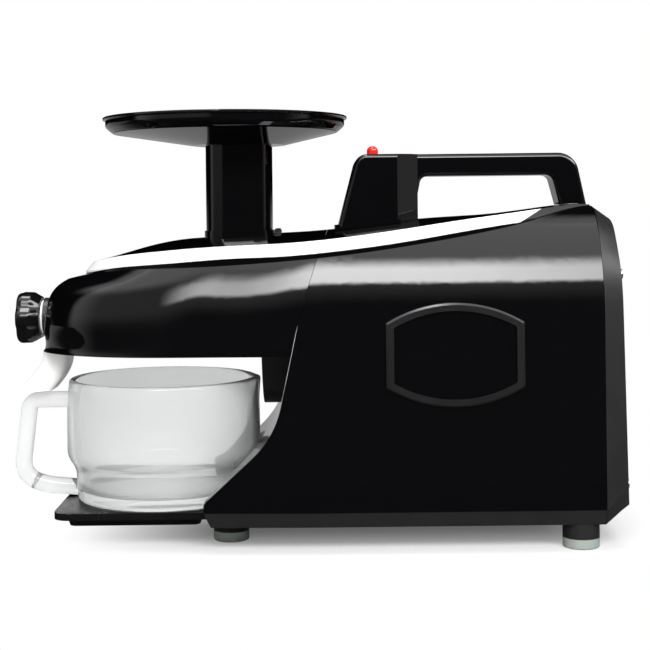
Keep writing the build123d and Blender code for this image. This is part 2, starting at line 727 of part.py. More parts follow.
with BuildPart() as foot_pads:
    with Locations(*foot_spots(0)):
        Cylinder(foot_radius, pad_height, align=low_align)
    fillet(foot_pads.faces().group_by(Axis.Z)[0].edges(), pad_round)
foot_pads.part.label = "foot_pads"
export_step(foot_pads.part, "parts/foot_pads.step")

with BuildPart() as foot_screws:
    with Locations(*foot_spots(pad_height + fit_gap)):
        Cylinder(screw_head_radius, screw_head_height, align=low_align)
        Cylinder(foot_screw_radius, foot_height + pan_floor - pad_height - fit_gap,
                 align=low_align)
foot_screws.part.label = "foot_screws"
export_step(foot_screws.part, "parts/foot_screws.step")

# -------------------------------------------------------------- jug and ledge
ledge_pan_half, ledge_pan_front, ledge_pan_back = 55.0, -181.0, -80.5

with BuildPart() as jug_ledge:
    with BuildSketch(Plane.XY.offset(ledge_low)) as ledge_plan:
        with Locations((ledge_front_x, 0)):
            Rectangle(heel_x - ledge_front_x, 2 * ledge_half, align=(Align.MIN, Align.CENTER))
        fillet(ledge_plan.vertices().group_by(Axis.X)[0], 12)
        with Locations((jug_x, 0)):
            Circle(jug_radius + bay_gap - fit_gap)
        with Locations((ledge_front_x, 0)):
            Rectangle(full_width, 2 * ledge_half, align=(Align.MIN, Align.CENTER),
                      mode=Mode.INTERSECT)
    extrude(amount=ledge_top - ledge_low)
    with BuildSketch(Plane.XY.offset(ledge_low)):
        with Locations(((ledge_pan_front + ledge_pan_back) / 2, 0)):
            RectangleRounded(ledge_pan_back - ledge_pan_front, 2 * ledge_pan_half, 8)
    extrude(amount=ledge_pan_low - ledge_low, taper=20)
    with Locations(*[(ledge_screw_x, side * ledge_screw_y, ledge_low) for side in (-1, 1)]):
        Cylinder(foot_screw_radius, 2 * (ledge_top - ledge_low - 1.5), mode=Mode.SUBTRACT)
jug_ledge.part.label = "jug_ledge"
export_step(jug_ledge.part, "parts/jug_ledge.step")

with BuildPart() as ledge_screws:
    with Locations(*[(ledge_screw_x, side * ledge_screw_y, foot_height + fit_gap / 2)
                     for side in (-1, 1)]):
        Cylinder(screw_head_radius, screw_head_height - fit_gap / 2, align=low_align)
        Cylinder(foot_screw_radius, ledge_top - 1.5 - foot_height - fit_gap, align=low_align)
ledge_screws.part.label = "ledge_screws"
export_step(ledge_screws.part, "parts/ledge_screws.step")

jug_low = ledge_top + fit_gap / 2
jug_outside = ((0, jug_low), (jug_base_radius, jug_low),
               (jug_foot_radius, jug_low + jug_base_rise), (jug_foot_radius, waist_low),
               (jug_radius, waist_high), (jug_radius, belly_top), (jug_rim_radius, jug_rim_z))
jug_inside = ((jug_rim_radius - jug_glass, jug_rim_z), (jug_radius - jug_glass, belly_top),
              (jug_radius - jug_glass, waist_high + 1),
              (jug_foot_radius - jug_glass, waist_low + 1),
              (jug_foot_radius - jug_glass, jug_low + jug_floor + jug_base_rise - 2),
              (jug_base_radius - jug_glass, jug_low + jug_floor), (0, jug_low + jug_floor))
jug_axis = Axis((jug_x, 0, 0), (0, 0, 1))

with BuildPart() as jug_handle:
    with BuildSketch(Plane.XZ):
        with BuildLine():
            FilletPolyline((jug_handle_root, jug_handle_top), (jug_handle_top_x, jug_handle_top),
                           (jug_handle_low_x, jug_handle_low), (jug_handle_root, jug_handle_low),
                           close=True, radius=[0, jug_handle_corner, jug_handle_corner, 0])
        make_face()
        with BuildLine():
            FilletPolyline((jug_handle_root + 1, jug_handle_top - jug_handle_thick),
                           (jug_handle_top_x + jug_handle_thick, jug_handle_top - jug_handle_thick),
                           (jug_handle_low_x + jug_handle_thick, jug_handle_low + jug_handle_thick),
                           (jug_handle_root + 1, jug_handle_low + jug_handle_thick),
                           close=True, radius=[0, jug_handle_corner / 2, jug_handle_corner / 2, 0])
        make_face(mode=Mode.SUBTRACT)
    extrude(amount=jug_handle_width / 2, both=True)
    rounded = jug_handle.edges().filter_by(
        lambda edge: abs(edge.center().Y) > jug_handle_width / 2 - 0.1
        and edge.center().X < jug_handle_root - 1)
    fillet(rounded, jug_handle_round)

with BuildPart() as glass_jug:
    with BuildSketch(Plane.XZ):
        with BuildLine():
            outside = FilletPolyline(*[(jug_x + r, z) for r, z in jug_outside],
                                     radius=[3, 3, 5, 5, 8])
            inside = FilletPolyline(*[(jug_x + r, z) for r, z in jug_inside],
                                    radius=[8, 5, 5, 3, 3])
            Line(outside @ 1, inside @ 0)
            Line(inside @ 1, outside @ 0)
        make_face()
    revolve(axis=jug_axis)
    add(jug_handle.part)
    with Locations((beak_x, 0, beak_low)):
        Cone(beak_low_radius, beak_radius, jug_rim_z - beak_low, align=low_align)
    with BuildSketch(Plane.XZ):
        with BuildLine():
            above_rim = jug_rim_z + jug_floor
            Polyline(*[(jug_x + r, z) for r, z in jug_inside], (jug_x, above_rim),
                     (jug_x + jug_rim_radius - jug_glass, above_rim), close=True)
        make_face()
    revolve(axis=jug_axis, mode=Mode.SUBTRACT)
    with Locations((beak_x - 1, 0, beak_low + beak_wall)):
        Cone(beak_low_radius - beak_wall, beak_radius - beak_wall,
             jug_rim_z - beak_low - beak_wall, align=low_align, mode=Mode.SUBTRACT)
glass_jug.part.label = "glass_jug"
export_step(glass_jug.part, "parts/glass_jug.step")

# ------------------------------------------------------- screws and chamber
drive_y, driven_y = -screw_spacing / 2, screw_spacing / 2


def screw_wire(x, y, phase):
    """Lobed section of a screw, turned by phase."""
    count = screw_lobes * points_per_lobe
    points = []
    for step in range(count):
        turn = 2 * pi * step / count
        radius = screw_mean + screw_wave * cos(screw_lobes * turn)
        points.append(Vector(x, y + radius * cos(turn + phase), axis_z + radius * sin(turn + phase)))
    return Wire.make_polygon(points, close=True)


def screw_body(y, hand, phase):
    """Slow feeding section, then the steeper pressing section."""
    feed_x, press_x = screw_rear_x, chamber_front_x
    feed = Solid.extrude_linear_with_rotation(
        screw_wire(feed_x, y, phase), (feed_x, y, axis_z), (press_x - feed_x, 0, 0),
        hand * feed_twist)
    press = Solid.extrude_linear_with_rotation(
        screw_wire(press_x, y, phase - hand * radians(feed_twist)), (press_x, y, axis_z),
        (screen_front_x - press_x, 0, 0), hand * press_twist)
    return feed, press


with BuildPart() as drive_screw:
    add(screw_body(drive_y, 1, 0))
    add(bar(screen_front_x, journal_end_x, drive_y, axis_z, journal_radius - run_gap))
    with BuildSketch(Plane.YZ.offset(screw_rear_x)):
        with Locations((drive_y, axis_z)):
            RegularPolygon(hex_flats / 2 + run_gap, 6, major_radius=False)
    extrude(amount=-hex_depth, mode=Mode.SUBTRACT)
drive_screw.part.label = "drive_screw"
export_step(drive_screw.part, "parts/drive_screw.step")

with BuildPart() as driven_screw:
    add(screw_body(driven_y, -1, pi + pi / screw_lobes))
    add(bar(screen_front_x, journal_end_x, driven_y, axis_z, journal_radius - run_gap))
    add(bar(screw_rear_x, idler_rear_x, driven_y, axis_z, idler_radius - run_gap))
driven_screw.part.label = "driven_screw"
export_step(driven_screw.part, "parts/driven_screw.step")

chamber_circles = ((drive_y, axis_z, bore_radius), (driven_y, axis_z, bore_radius))

with BuildPart() as gear_chamber:
    add(hull_bar(chamber_rear_x, chamber_front_x, chamber_circles, chamber_wall))
    with BuildSketch(Plane.XY.offset(axis_z)):
        with Locations((chute_x, 0)):
            RectangleRounded(chute_size, chute_size, chute_corner)
        with Locations((chamber_rear_x, 0)):
            Rectangle(chute_size, 2 * chute_size, align=(Align.MIN, Align.CENTER),
                      mode=Mode.SUBTRACT)
    extrude(amount=chute_top - axis_z)
    with BuildSketch(Plane.XY.offset(chute_floor_z)):
        with Locations((chute_x, 0)):
            RectangleRounded(chute_size, chute_size, chute_corner)
    extrude(amount=chute_top - chute_floor_z)
    for y, z, radius in chamber_circles:
        add(bar(chamber_rear_x + 1, chamber_front_x - 1, y, z, radius), mode=Mode.SUBTRACT)
    with BuildSketch(Plane.XY.offset(axis_z)):
        with Locations((chute_x, 0)):
            RectangleRounded(chute_bore, chute_bore, chute_corner - chute_wall)
        with Locations((chamber_rear_x - chute_wall, 0)):
            Rectangle(chute_size, 2 * chute_size, align=(Align.MIN, Align.CENTER),
                      mode=Mode.SUBTRACT)
    extrude(amount=chute_top - axis_z, mode=Mode.SUBTRACT)
    with BuildSketch(Plane.XY.offset(chute_floor_z + chute_wall)):
        with Locations((chute_x, 0)):
            RectangleRounded(chute_bore, chute_bore, chute_corner - chute_wall)
    extrude(amount=chute_top - chute_floor_z, mode=Mode.SUBTRACT)
gear_chamber.part.label = "gear_chamber"
export_step(gear_chamber.part, "parts/gear_chamber.step")

with BuildPart() as juice_screen:
    screen_rear_x = chamber_front_x - fit_gap
    add(hull_bar(screen_rear_x, screen_front_x, chamber_circles, screen_wall))
    for y, z, radius in chamber_circles:
        add(bar(screen_rear_x + 1, screen_front_x - 1, y, z, radius), mode=Mode.SUBTRACT)
    slot_spots = []
    for column in range(slot_columns):
        x = screen_rear_x - 8 - slot_pitch * (column + 0.5)
        for side in (-1, 1):
            for row in range(slot_rows):
                turn = radians(-90 + side * (12 * row - 6))
                slot_spots.append(Location(
                    (x, side * screw_spacing / 2 + bore_radius * cos(turn),
                     axis_z + bore_radius * sin(turn)), (degrees(turn), 0, 0)))
    with Locations(*slot_spots):
        Box(slot_pitch - 3, 4 * screen_wall, slot_width, mode=Mode.SUBTRACT)
juice_screen.part.label = "juice_screen"
export_step(juice_screen.part, "parts/juice_screen.step")

# ---------------------------------------------------- outlet, knob and spout
casing_rear_x = screen_front_x - fit_gap
throat_low = cover_bottom - throat_drop
spout_line = ((-194.5, 139.9), (-195.4, 131), (-201.5, 120.5), (-210.5, 110), (-215.5, 104.5))


def spout_run(shrink):
    """Flattened tube that runs down and forward from the casing."""
    with BuildPart() as run:
        with BuildLine() as path:
            Spline(*[(x, 0, z) for x, z in spout_line], tangents=[(0, 0, -1), (-0.72, 0, -0.7)])
        with BuildSketch(Plane(origin=path.line @ 0, z_dir=path.line % 0, x_dir=(1, 0, 0))):
            RectangleRounded(spout_depth - 2 * shrink, spout_width - 2 * shrink, 6 - shrink)
        sweep()
        with Locations((spout_line[-1][0], 0, spout_mouth_z)):
            Box(60, 60, 40, align=(Align.CENTER, Align.CENTER, Align.MAX), mode=Mode.SUBTRACT)
    return run.part


with BuildPart() as outlet_casing:
    add(hull_bar(casing_rear_x, end_wall_x, chamber_circles, chamber_wall))
    add(bar(end_wall_x, casing_front_x, 0, axis_z, casing_radius))
    add(slab(throat_front_x, throat_rear_x, outlet_radius, throat_low, throat_low + throat_step))
    add(slab(casing_front_x, throat_rear_x, outlet_radius, throat_low, throat_low + throat_rise))
    add(spout_run(0))
    for y, z, radius in chamber_circles:
        add(bar(casing_rear_x + 1, journal_end_x - fit_gap, y, z, journal_radius),
            mode=Mode.SUBTRACT)
    add(bar(casing_rear_x + 1, end_wall_x - 1, 0, axis_z, passage_radius), mode=Mode.SUBTRACT)
    add(bar(end_wall_x, casing_front_x + 3, 0, axis_z, outlet_radius), mode=Mode.SUBTRACT)
    add(bar(casing_front_x + 4, casing_front_x - 1, 0, axis_z, stem_radius + 1),
        mode=Mode.SUBTRACT)
    add(slab(casing_front_x + spout_wall, throat_rear_x - spout_wall,
             outlet_radius - spout_wall, throat_low + throat_floor, axis_z), mode=Mode.SUBTRACT)
    add(slab(throat_front_x + spout_wall, throat_front_x + throat_bore,
             outlet_radius - spout_wall, throat_low - 1, throat_low + throat_step - spout_wall),
        mode=Mode.SUBTRACT)
    add(spout_run(spout_wall), mode=Mode.SUBTRACT)
outlet_casing.part.label = "outlet_casing"
export_step(outlet_casing.part, "parts/outlet_casing.step")

with BuildPart() as outlet_cone:
    with BuildSketch(Plane.XY.offset(axis_z)):
        with BuildLine():
            Polyline((cone_tip_x, 0), (cone_tip_x, 5), (cone_tip_x - 9, cone_radius),
                     (cone_tip_x - 13, cone_radius), (cone_tip_x - 15, hub_half),
                     (cone_back_x, hub_half), (cone_back_x, stem_radius + run_gap),
                     (cone_back_x + cone_bore, stem_radius + run_gap),
                     (cone_back_x + cone_bore, 0), (cone_tip_x, 0))
        make_face()
    revolve(axis=Axis((0, 0, axis_z), (1, 0, 0)))
outlet_cone.part.label = "outlet_cone"
export_step(outlet_cone.part, "parts/outlet_cone.step")

with BuildPart() as outlet_boss:
    add(bar(casing_front_x - fit_gap, boss_front_x, 0, axis_z, boss_radius))
    add(bar(casing_front_x + 1, boss_front_x - 1, 0, axis_z, stem_radius + run_gap),
        mode=Mode.SUBTRACT)
outlet_boss.part.label = "outlet_boss"
export_step(outlet_boss.part, "parts/outlet_boss.step")

with BuildPart() as knob_washer:
    add(bar(boss_front_x, boss_front_x - washer_thick, 0, axis_z, washer_radius))
    add(bar(boss_front_x + 1, boss_front_x - 3, 0, axis_z, stem_radius + fit_gap),
        mode=Mode.SUBTRACT)
knob_washer.part.label = "knob_washer"
export_step(knob_washer.part, "parts/knob_washer.step")

knob_rear_x = boss_front_x - washer_thick - fit_gap
with BuildPart() as outlet_knob:
    with BuildSketch(Plane.YZ.offset(knob_rear_x)) as lobed:
        with Locations((0, axis_z)):
            Circle(knob_radius)
            with PolarLocations(knob_radius + 6.4, knob_lobes, start_angle=180 / knob_lobes):
                Circle(9.5, mode=Mode.SUBTRACT)
        fillet(lobed.vertices(), 3.0)
    extrude(amount=-knob_length)
    fillet(outlet_knob.faces().sort_by(Axis.X)[0].edges(), 2.2)
    add(bar(knob_rear_x + 1, stem_end_x, 0, axis_z, stem_radius))
    add(bar(knob_rear_x - 1, knob_rear_x + 1, 0, axis_z, stem_radius))
outlet_knob.part.label = "outlet_knob"
export_step(outlet_knob.part, "parts/outlet_knob.step")

# --------------------------------------------------- drive nose and its bushes
with BuildPart() as drive_nose:
    add(bar(nose_front_x, 30, 0, axis_z, nose_radius))
    add(side_region(-fit_gap), mode=Mode.SUBTRACT)
    add(slab(nose_front_x - 1, 40, full_width / 2, nose_top_z, above_all), mode=Mode.SUBTRACT)
    add(bar(nose_front_x - 1, 30, drive_y, axis_z, drive_shaft_radius + 1), mode=Mode.SUBTRACT)
    add(bar(nose_front_x - 1, nose_bush_x + nose_bush_length, drive_y, axis_z, seal_radius),
        mode=Mode.SUBTRACT)
    add(bar(nose_front_x - 1, nose_front_x + idler_length, driven_y, axis_z, bush_radius),
        mode=Mode.SUBTRACT)
drive_nose.part.label = "drive_nose"
export_step(drive_nose.part, "parts/drive_nose.step")

with BuildPart() as shaft_seal:
    add(bar(nose_front_x, nose_bush_x, drive_y, axis_z, seal_radius))
    add(bar(nose_front_x - 1, nose_bush_x + 1, drive_y, axis_z, drive_shaft_radius + run_gap),
        mode=Mode.SUBTRACT)
shaft_seal.part.label = "shaft_seal"
export_step(shaft_seal.part, "parts/shaft_seal.step")

with BuildPart() as idler_bush:
    add(bar(nose_front_x, nose_front_x + idler_length, driven_y, axis_z, bush_radius))
    add(bar(nose_front_x - 1, nose_front_x + idler_length - 1.5, driven_y, axis_z,
            idler_radius), mode=Mode.SUBTRACT)
idler_bush.part.label = "idler_bush"
export_step(idler_bush.part, "parts/idler_bush.step")

# ----------------------------------------------------------------- gear train
first_distance = first_module * (pinion_teeth + wheel_teeth) / 2
second_distance = second_module * (lay_teeth + output_teeth) / 2
span_y, span_z = drive_y - motor_y, axis_z - motor_z
span = hypot(span_y, span_z)
along = (first_distance ** 2 - second_distance ** 2 + span ** 2) / (2 * span)
aside = sqrt(first_distance ** 2 - along ** 2)
lay_y = motor_y + (along * span_y + aside * span_z) / span
lay_z = motor_z + (along * span_z - aside * span_y) / span
first_line = atan2(lay_z - motor_z, lay_y - motor_y)
second_line = atan2(axis_z - lay_z, drive_y - lay_y)


def gear_sketch(x, y, z, teeth, module, tooth_at):
    """Spur gear section with a tooth pointing at the angle tooth_at."""
    pitch = module * teeth / 2
    base = pitch * cos(pressure_angle)
    tip, root = pitch + addendum * module, pitch - dedendum * module
    roll = tan(pressure_angle) - pressure_angle
    flank = []
    for step in range(flank_points):
        radius = max(base, root) + (tip - max(base, root)) * step / (flank_points - 1)
        grip = acos(min(base / radius, 1.0))
        half = pi / (2 * teeth) + roll - (tan(grip) - grip) - backlash / (4 * pitch)
        flank.append((radius, half))
    flank = [(root, flank[0][1])] + flank if root < base else flank
    points = []
    for tooth in range(teeth):
        middle = tooth_at + 2 * pi * tooth / teeth
        points += [(radius, middle - half) for radius, half in flank]
        points += [(radius, middle + half) for radius, half in reversed(flank)]
    with BuildSketch(Plane.YZ.offset(x)) as section:
        with BuildLine():
            Polyline(*[(y + r * cos(t), z + r * sin(t)) for r, t in points], close=True)
        make_face()
    return section.sketch


with BuildPart() as rotor:
    add(bar(rotor_front_x, rotor_rear_x, motor_y, motor_z, motor_shaft_radius))
    add(bar(stack_front_x, stack_front_x + stack_length, motor_y, motor_z, rotor_radius))
rotor.part.label = "rotor"
export_step(rotor.part, "parts/rotor.step")

with BuildPart() as motor_pinion:
    extrude(gear_sketch(first_x, motor_y, motor_z, pinion_teeth, first_module, first_line),
            amount=first_face)
    add(bar(first_x - 1, first_x + first_face + 1, motor_y, motor_z, motor_shaft_radius),
        mode=Mode.SUBTRACT)
motor_pinion.part.label = "motor_pinion"
export_step(motor_pinion.part, "parts/motor_pinion.step")

lay_wheel_turn = first_line + pi + pi / wheel_teeth
with BuildPart() as lay_gear:
    extrude(gear_sketch(first_x, lay_y, lay_z, wheel_teeth, first_module, lay_wheel_turn),
            amount=first_face)
    extrude(gear_sketch(second_x, lay_y, lay_z, lay_teeth, second_module, second_line),
            amount=first_x - second_x)
    add(bar(case_front_x + 1, case_rear_x + case_wall - 1, lay_y, lay_z, lay_shaft_radius))
lay_gear.part.label = "lay_gear"
export_step(lay_gear.part, "parts/lay_gear.step")

with BuildPart() as output_gear:
    extrude(gear_sketch(second_x, drive_y, axis_z, output_teeth, second_module,
                        second_line + pi + pi / output_teeth), amount=second_face)
    add(bar(second_x, drive_rear_x, drive_y, axis_z, 1.7 * drive_shaft_radius))
    add(bar(second_x - 1, first_x, drive_y, axis_z, drive_shaft_radius), mode=Mode.SUBTRACT)
output_gear.part.label = "output_gear"
export_step(output_gear.part, "parts/output_gear.step")

with BuildPart() as drive_shaft:
    add(bar(nose_front_x + 1, drive_rear_x, drive_y, axis_z, drive_shaft_radius))
    with BuildSketch(Plane.YZ.offset(nose_front_x + 1)):
        with Locations((drive_y, axis_z)):
            RegularPolygon(hex_flats / 2, 6, major_radius=False)
    extrude(amount=screw_rear_x - hex_depth + 0.5 - nose_front_x - 1)
drive_shaft.part.label = "drive_shaft"
export_step(drive_shaft.part, "parts/drive_shaft.step")

case_circles = ((lay_y, lay_z, lay_room), (drive_y, axis_z, output_room),
                (motor_y, motor_z, pinion_room))
lay_bush = (lay_y, lay_z, lay_bush_radius, lay_shaft_radius)
drive_bush = (drive_y, axis_z, bush_radius, drive_shaft_radius)
nose_bush = (drive_y, axis_z, seal_radius, drive_shaft_radius)
bush_places = ((case_front_x, case_wall, lay_bush), (case_front_x, case_wall, drive_bush),
               (case_rear_x + 0.1, case_wall - 0.1, lay_bush),
               (nose_bush_x, nose_bush_length, nose_bush))

with BuildPart() as gear_case:
    add(hull_bar(case_front_x, case_rear_x, case_circles, case_wall))
    add(hull_bar(case_front_x + case_wall, case_rear_x + 1, case_circles), mode=Mode.SUBTRACT)
    for y, z, outer, inner in (lay_bush, drive_bush):
        add(bar(case_front_x - 1, case_front_x + case_wall + 1, y, z, outer), mode=Mode.SUBTRACT)
gear_case.part.label = "gear_case"
export_step(gear_case.part, "parts/gear_case.step")

with BuildPart() as gear_case_lid:
    add(hull_bar(case_rear_x + 0.1, case_rear_x + case_wall, case_circles, case_wall))
    add(bar(case_rear_x - 1, case_rear_x + case_wall + 1, lay_y, lay_z, lay_bush_radius),
        mode=Mode.SUBTRACT)
    add(bar(case_rear_x - 1, case_rear_x + case_wall + 1, motor_y, motor_z,
            motor_shaft_radius + 1), mode=Mode.SUBTRACT)
gear_case_lid.part.label = "gear_case_lid"
export_step(gear_case_lid.part, "parts/gear_case_lid.step")

with BuildPart() as bushes:
    for start, length, (y, z, outer, inner) in bush_places:
        add(bar(start, start + length, y, z, outer))
        add(bar(start - 1, start + length + 1, y, z, inner + run_gap), mode=Mode.SUBTRACT)
bushes.part.label = "bushes"
export_step(bushes.part, "parts/bushes.step")

# ---------------------------------------------------------------------- motor
stack_rear_x = stack_front_x + stack_length
coil_inner = rotor_radius + 1.5
with BuildPart() as stator_stack:
    add(bar(stack_front_x, stack_rear_x, motor_y, motor_z, stack_radius))
    add(bar(stack_front_x - 1, stack_rear_x + 1, motor_y, motor_z, rotor_radius + air_gap),
        mode=Mode.SUBTRACT)
stator_stack.part.label = "stator_stack"
export_step(stator_stack.part, "parts/stator_stack.step")

with BuildPart() as stator_coils:
    for start, end in ((stack_front_x - coil_length, stack_front_x - fit_gap),
                       (stack_rear_x + fit_gap, stack_rear_x + coil_length)):
        add(bar(start, end, motor_y, motor_z, coil_radius))
        add(bar(start - 1, end + 1, motor_y, motor_z, coil_inner), mode=Mode.SUBTRACT)
    fillet(stator_coils.edges().filter_by(GeomType.CIRCLE), 3)
stator_coils.part.label = "stator_coils"
export_step(stator_coils.part, "parts/stator_coils.step")


def motor_bracket(open_x, wall_x, inward):
    """Cup over one end of the stack with a bearing housing in its wall."""
    with BuildPart() as cup:
        add(bar(open_x, wall_x, motor_y, motor_z, stack_radius))
        add(bar(open_x + inward, wall_x + inward * bracket_wall, motor_y, motor_z,
                stack_radius - bracket_wall), mode=Mode.SUBTRACT)
        add(bar(wall_x, wall_x + inward * (bracket_wall + bearing_width), motor_y, motor_z,
                bearing_radius + bracket_wall))
        add(bar(wall_x + inward * bracket_wall,
                wall_x + inward * (bracket_wall + bearing_width + 1), motor_y, motor_z,
                bearing_radius), mode=Mode.SUBTRACT)
        add(bar(wall_x - inward, wall_x + inward * (bracket_wall + 1), motor_y, motor_z,
                motor_shaft_radius + 1), mode=Mode.SUBTRACT)
    return cup.part


bracket_front_x, bracket_rear_x = case_rear_x + case_wall + fit_gap, stack_rear_x + 28
with BuildPart() as front_bracket:
    add(motor_bracket(stack_front_x, bracket_front_x, 1))
front_bracket.part.label = "front_bracket"
export_step(front_bracket.part, "parts/front_bracket.step")

with BuildPart() as rear_bracket:
    add(motor_bracket(stack_rear_x, bracket_rear_x, -1))
rear_bracket.part.label = "rear_bracket"
export_step(rear_bracket.part, "parts/rear_bracket.step")

with BuildPart() as bearings:
    for start in (bracket_front_x + bracket_wall, bracket_rear_x - bracket_wall - bearing_width):
        add(bar(start, start + bearing_width, motor_y, motor_z, bearing_radius))
        add(bar(start - 1, start + bearing_width + 1, motor_y, motor_z,
                motor_shaft_radius + run_gap), mode=Mode.SUBTRACT)
bearings.part.label = "bearings"
export_step(bearings.part, "parts/bearings.step")

with BuildPart() as cooling_fan:
    fan_front_x = bracket_rear_x + 4
    add(bar(fan_front_x, fan_front_x + fan_width, motor_y, motor_z, 2 * motor_shaft_radius))
    add(bar(fan_front_x, fan_front_x + 1.5, motor_y, motor_z, fan_radius))
    for blade in range(fan_blades):
        turn = 2 * pi * blade / fan_blades
        middle = (2 * motor_shaft_radius - 1 + fan_radius) / 2
        with Locations(Location((fan_front_x + fan_width / 2, motor_y + middle * cos(turn),
                                 motor_z + middle * sin(turn)), (degrees(turn), 0, 0))):
            Box(fan_width, fan_radius - 2 * motor_shaft_radius + 1, 1.6)
    add(bar(fan_front_x - 1, fan_front_x + fan_width + 1, motor_y, motor_z, motor_shaft_radius),
        mode=Mode.SUBTRACT)
cooling_fan.part.label = "cooling_fan"
export_step(cooling_fan.part, "parts/cooling_fan.step")

floor_top = foot_height + pan_floor
with BuildPart() as motor_cradle:
    for x in (stack_front_x + 8, stack_rear_x - 8):
        with Locations((x, 0, (floor_top + motor_z - 12) / 2)):
            Box(6, 2 * cradle_half, motor_z - 12 - floor_top)
    with Locations(((stack_front_x + stack_rear_x) / 2, 0, floor_top + 1.5)):
        Box(stack_length - 4, 2 * cradle_half, 3)
    add(bar(stack_front_x, stack_rear_x, motor_y, motor_z, stack_radius), mode=Mode.SUBTRACT)
motor_cradle.part.label = "motor_cradle"
export_step(motor_cradle.part, "parts/motor_cradle.step")

with BuildPart() as run_capacitor:
    add(bar(capacitor_x, capacitor_x + capacitor_length, capacitor_y, capacitor_z,
            capacitor_radius))
    fillet(run_capacitor.edges().filter_by(GeomType.CIRCLE), 1.5)
    for side in (-1, 1):
        with Locations((capacitor_x + capacitor_length + 4, capacitor_y + 5 * side, capacitor_z)):
            Box(10, 0.8, 6)
run_capacitor.part.label = "run_capacitor"
export_step(run_capacitor.part, "parts/run_capacitor.step")

with BuildPart() as capacitor_clip:
    clip_x = capacitor_x + capacitor_length / 2
    add(bar(clip_x - 6, clip_x + 6, capacitor_y, capacitor_z, capacitor_radius + 2))
    with Locations((clip_x, capacitor_y, (floor_top + capacitor_z) / 2)):
        Box(12, 1.6 * capacitor_radius, capacitor_z - floor_top)
    with Locations((clip_x, capacitor_y, capacitor_z + 0.8 * capacitor_radius)):
        Box(14, 4 * capacitor_radius, capacitor_radius,
            align=(Align.CENTER, Align.CENTER, Align.MIN), mode=Mode.SUBTRACT)
    add(bar(clip_x - 7, clip_x + 7, capacitor_y, capacitor_z, capacitor_radius),
        mode=Mode.SUBTRACT)
capacitor_clip.part.label = "capacitor_clip"
export_step(capacitor_clip.part, "parts/capacitor_clip.step")

# ----------------------------------------------------- front cover and tray
with BuildPart() as front_cover:
    add(form)
    add(side_region(-fit_gap), mode=Mode.SUBTRACT)
    add(slab(nose_x - 1, rear_x, full_width / 2, seam_height - 1, cover_bottom),
        mode=Mode.SUBTRACT)
    with BuildSketch(Plane.XY.offset(axis_z)):
        with Locations((chute_x, 0)):
            rim_size = chute_size + 2 * (chute_clear + rim_width)
            RectangleRounded(rim_size, rim_size, chute_corner + chute_clear + rim_width)
    extrude(amount=cover_rim_z - axis_z)
    add(form_inside, mode=Mode.SUBTRACT)
    with BuildSketch(Plane.XY.offset(seam_height)):
        with Locations((chute_x, 0)):
            RectangleRounded(chute_size + 2 * chute_clear, chute_size + 2 * chute_clear,
                             chute_corner + chute_clear)
    extrude(amount=above_all - seam_height, mode=Mode.SUBTRACT)
    add(bar(nose_x - 1, boss_front_x + 10, 0, axis_z, boss_radius + 0.5), mode=Mode.SUBTRACT)
    add(slab(nose_x - 1, boss_front_x + 10, boss_radius + 0.5, seam_height - 1, axis_z),
        mode=Mode.SUBTRACT)
front_cover.part.label = "front_cover"
export_step(front_cover.part, "parts/front_cover.step")

with BuildPart() as cover_tab:
    with BuildSketch(Plane.XZ):
        with BuildLine():
            FilletPolyline((tab_x - tab_reach, handle_foot_z), (tab_x - tab_reach, tab_top),
                           (tab_x + tab_crest, tab_top), (tab_x + tab_reach, handle_foot_z),
                           close=True, radius=[0, tab_corner, tab_corner, 0])
        make_face()
    extrude(amount=tab_half, both=True)
    add(deck_clear, mode=Mode.SUBTRACT)
cover_tab.part.label = "cover_tab"
export_step(cover_tab.part, "parts/cover_tab.step")


def dish_cone(lift, grow):
    """Slanted cone between the tray's wall and its hub, over the chute."""
    with BuildPart() as cone:
        with BuildSketch(Plane.XY.offset(chute_top + lift)):
            with Locations((chute_x, 0)):
                Circle(hub_radius + grow)
        with BuildSketch(Plane.XY.offset(tray_floor_z + lift)):
            with Locations((tray_x, 0)):
                Circle(tray_floor_radius + grow)
        loft(ruled=True)
    return cone.part


with BuildPart() as feed_tray:
    add(dish_cone(fit_gap, 0))
    with BuildSketch(Plane.XZ):
        with BuildLine():
            FilletPolyline((tray_x, tray_floor_z + fit_gap), (tray_x + tray_floor_radius,
                           tray_floor_z + fit_gap), (tray_x + tray_wall_radius, 309.5),
                           (tray_x + tray_wall_radius, tray_rim_z - tray_lip),
                           (tray_x + tray_lip_radius, tray_rim_z - tray_lip),
                           (tray_x + tray_lip_radius, tray_rim_z), (tray_x, tray_rim_z),
                           close=True, radius=[0, 5, 4, 0.4, 0.8, 0.8, 0])
        make_face()
    revolve(axis=Axis((tray_x, 0, 0), (0, 0, 1)))
    add(dish_cone(fit_gap + tray_wall, 0), mode=Mode.SUBTRACT)
    with BuildSketch(Plane.XZ):
        with BuildLine():
            inner = tray_wall_radius - tray_wall
            FilletPolyline((tray_x, tray_floor_z + tray_wall), (tray_x + tray_floor_radius - 1,
                           tray_floor_z + tray_wall + fit_gap), (tray_x + inner, 311),
                           (tray_x + inner, tray_rim_z + 1), (tray_x, tray_rim_z + 1),
                           close=True, radius=[0, 4, 3, 0, 0])
        make_face()
    revolve(axis=Axis((tray_x, 0, 0), (0, 0, 1)), mode=Mode.SUBTRACT)
    with BuildSketch(Plane.XY.offset(chute_top - spigot_depth)):
        with Locations((chute_x, 0)):
            RectangleRounded(chute_bore - 1, chute_bore - 1, chute_corner - chute_wall - 0.5)
    extrude(amount=spigot_depth + 1.5)
    with BuildSketch(Plane.XY.offset(chute_top - spigot_depth - 1)):
        with Locations((chute_x, 0)):
            RectangleRounded(chute_bore - 4.6, chute_bore - 4.6, chute_corner - chute_wall - 2)
    extrude(amount=spigot_depth + 20, mode=Mode.SUBTRACT)
feed_tray.part.label = "feed_tray"
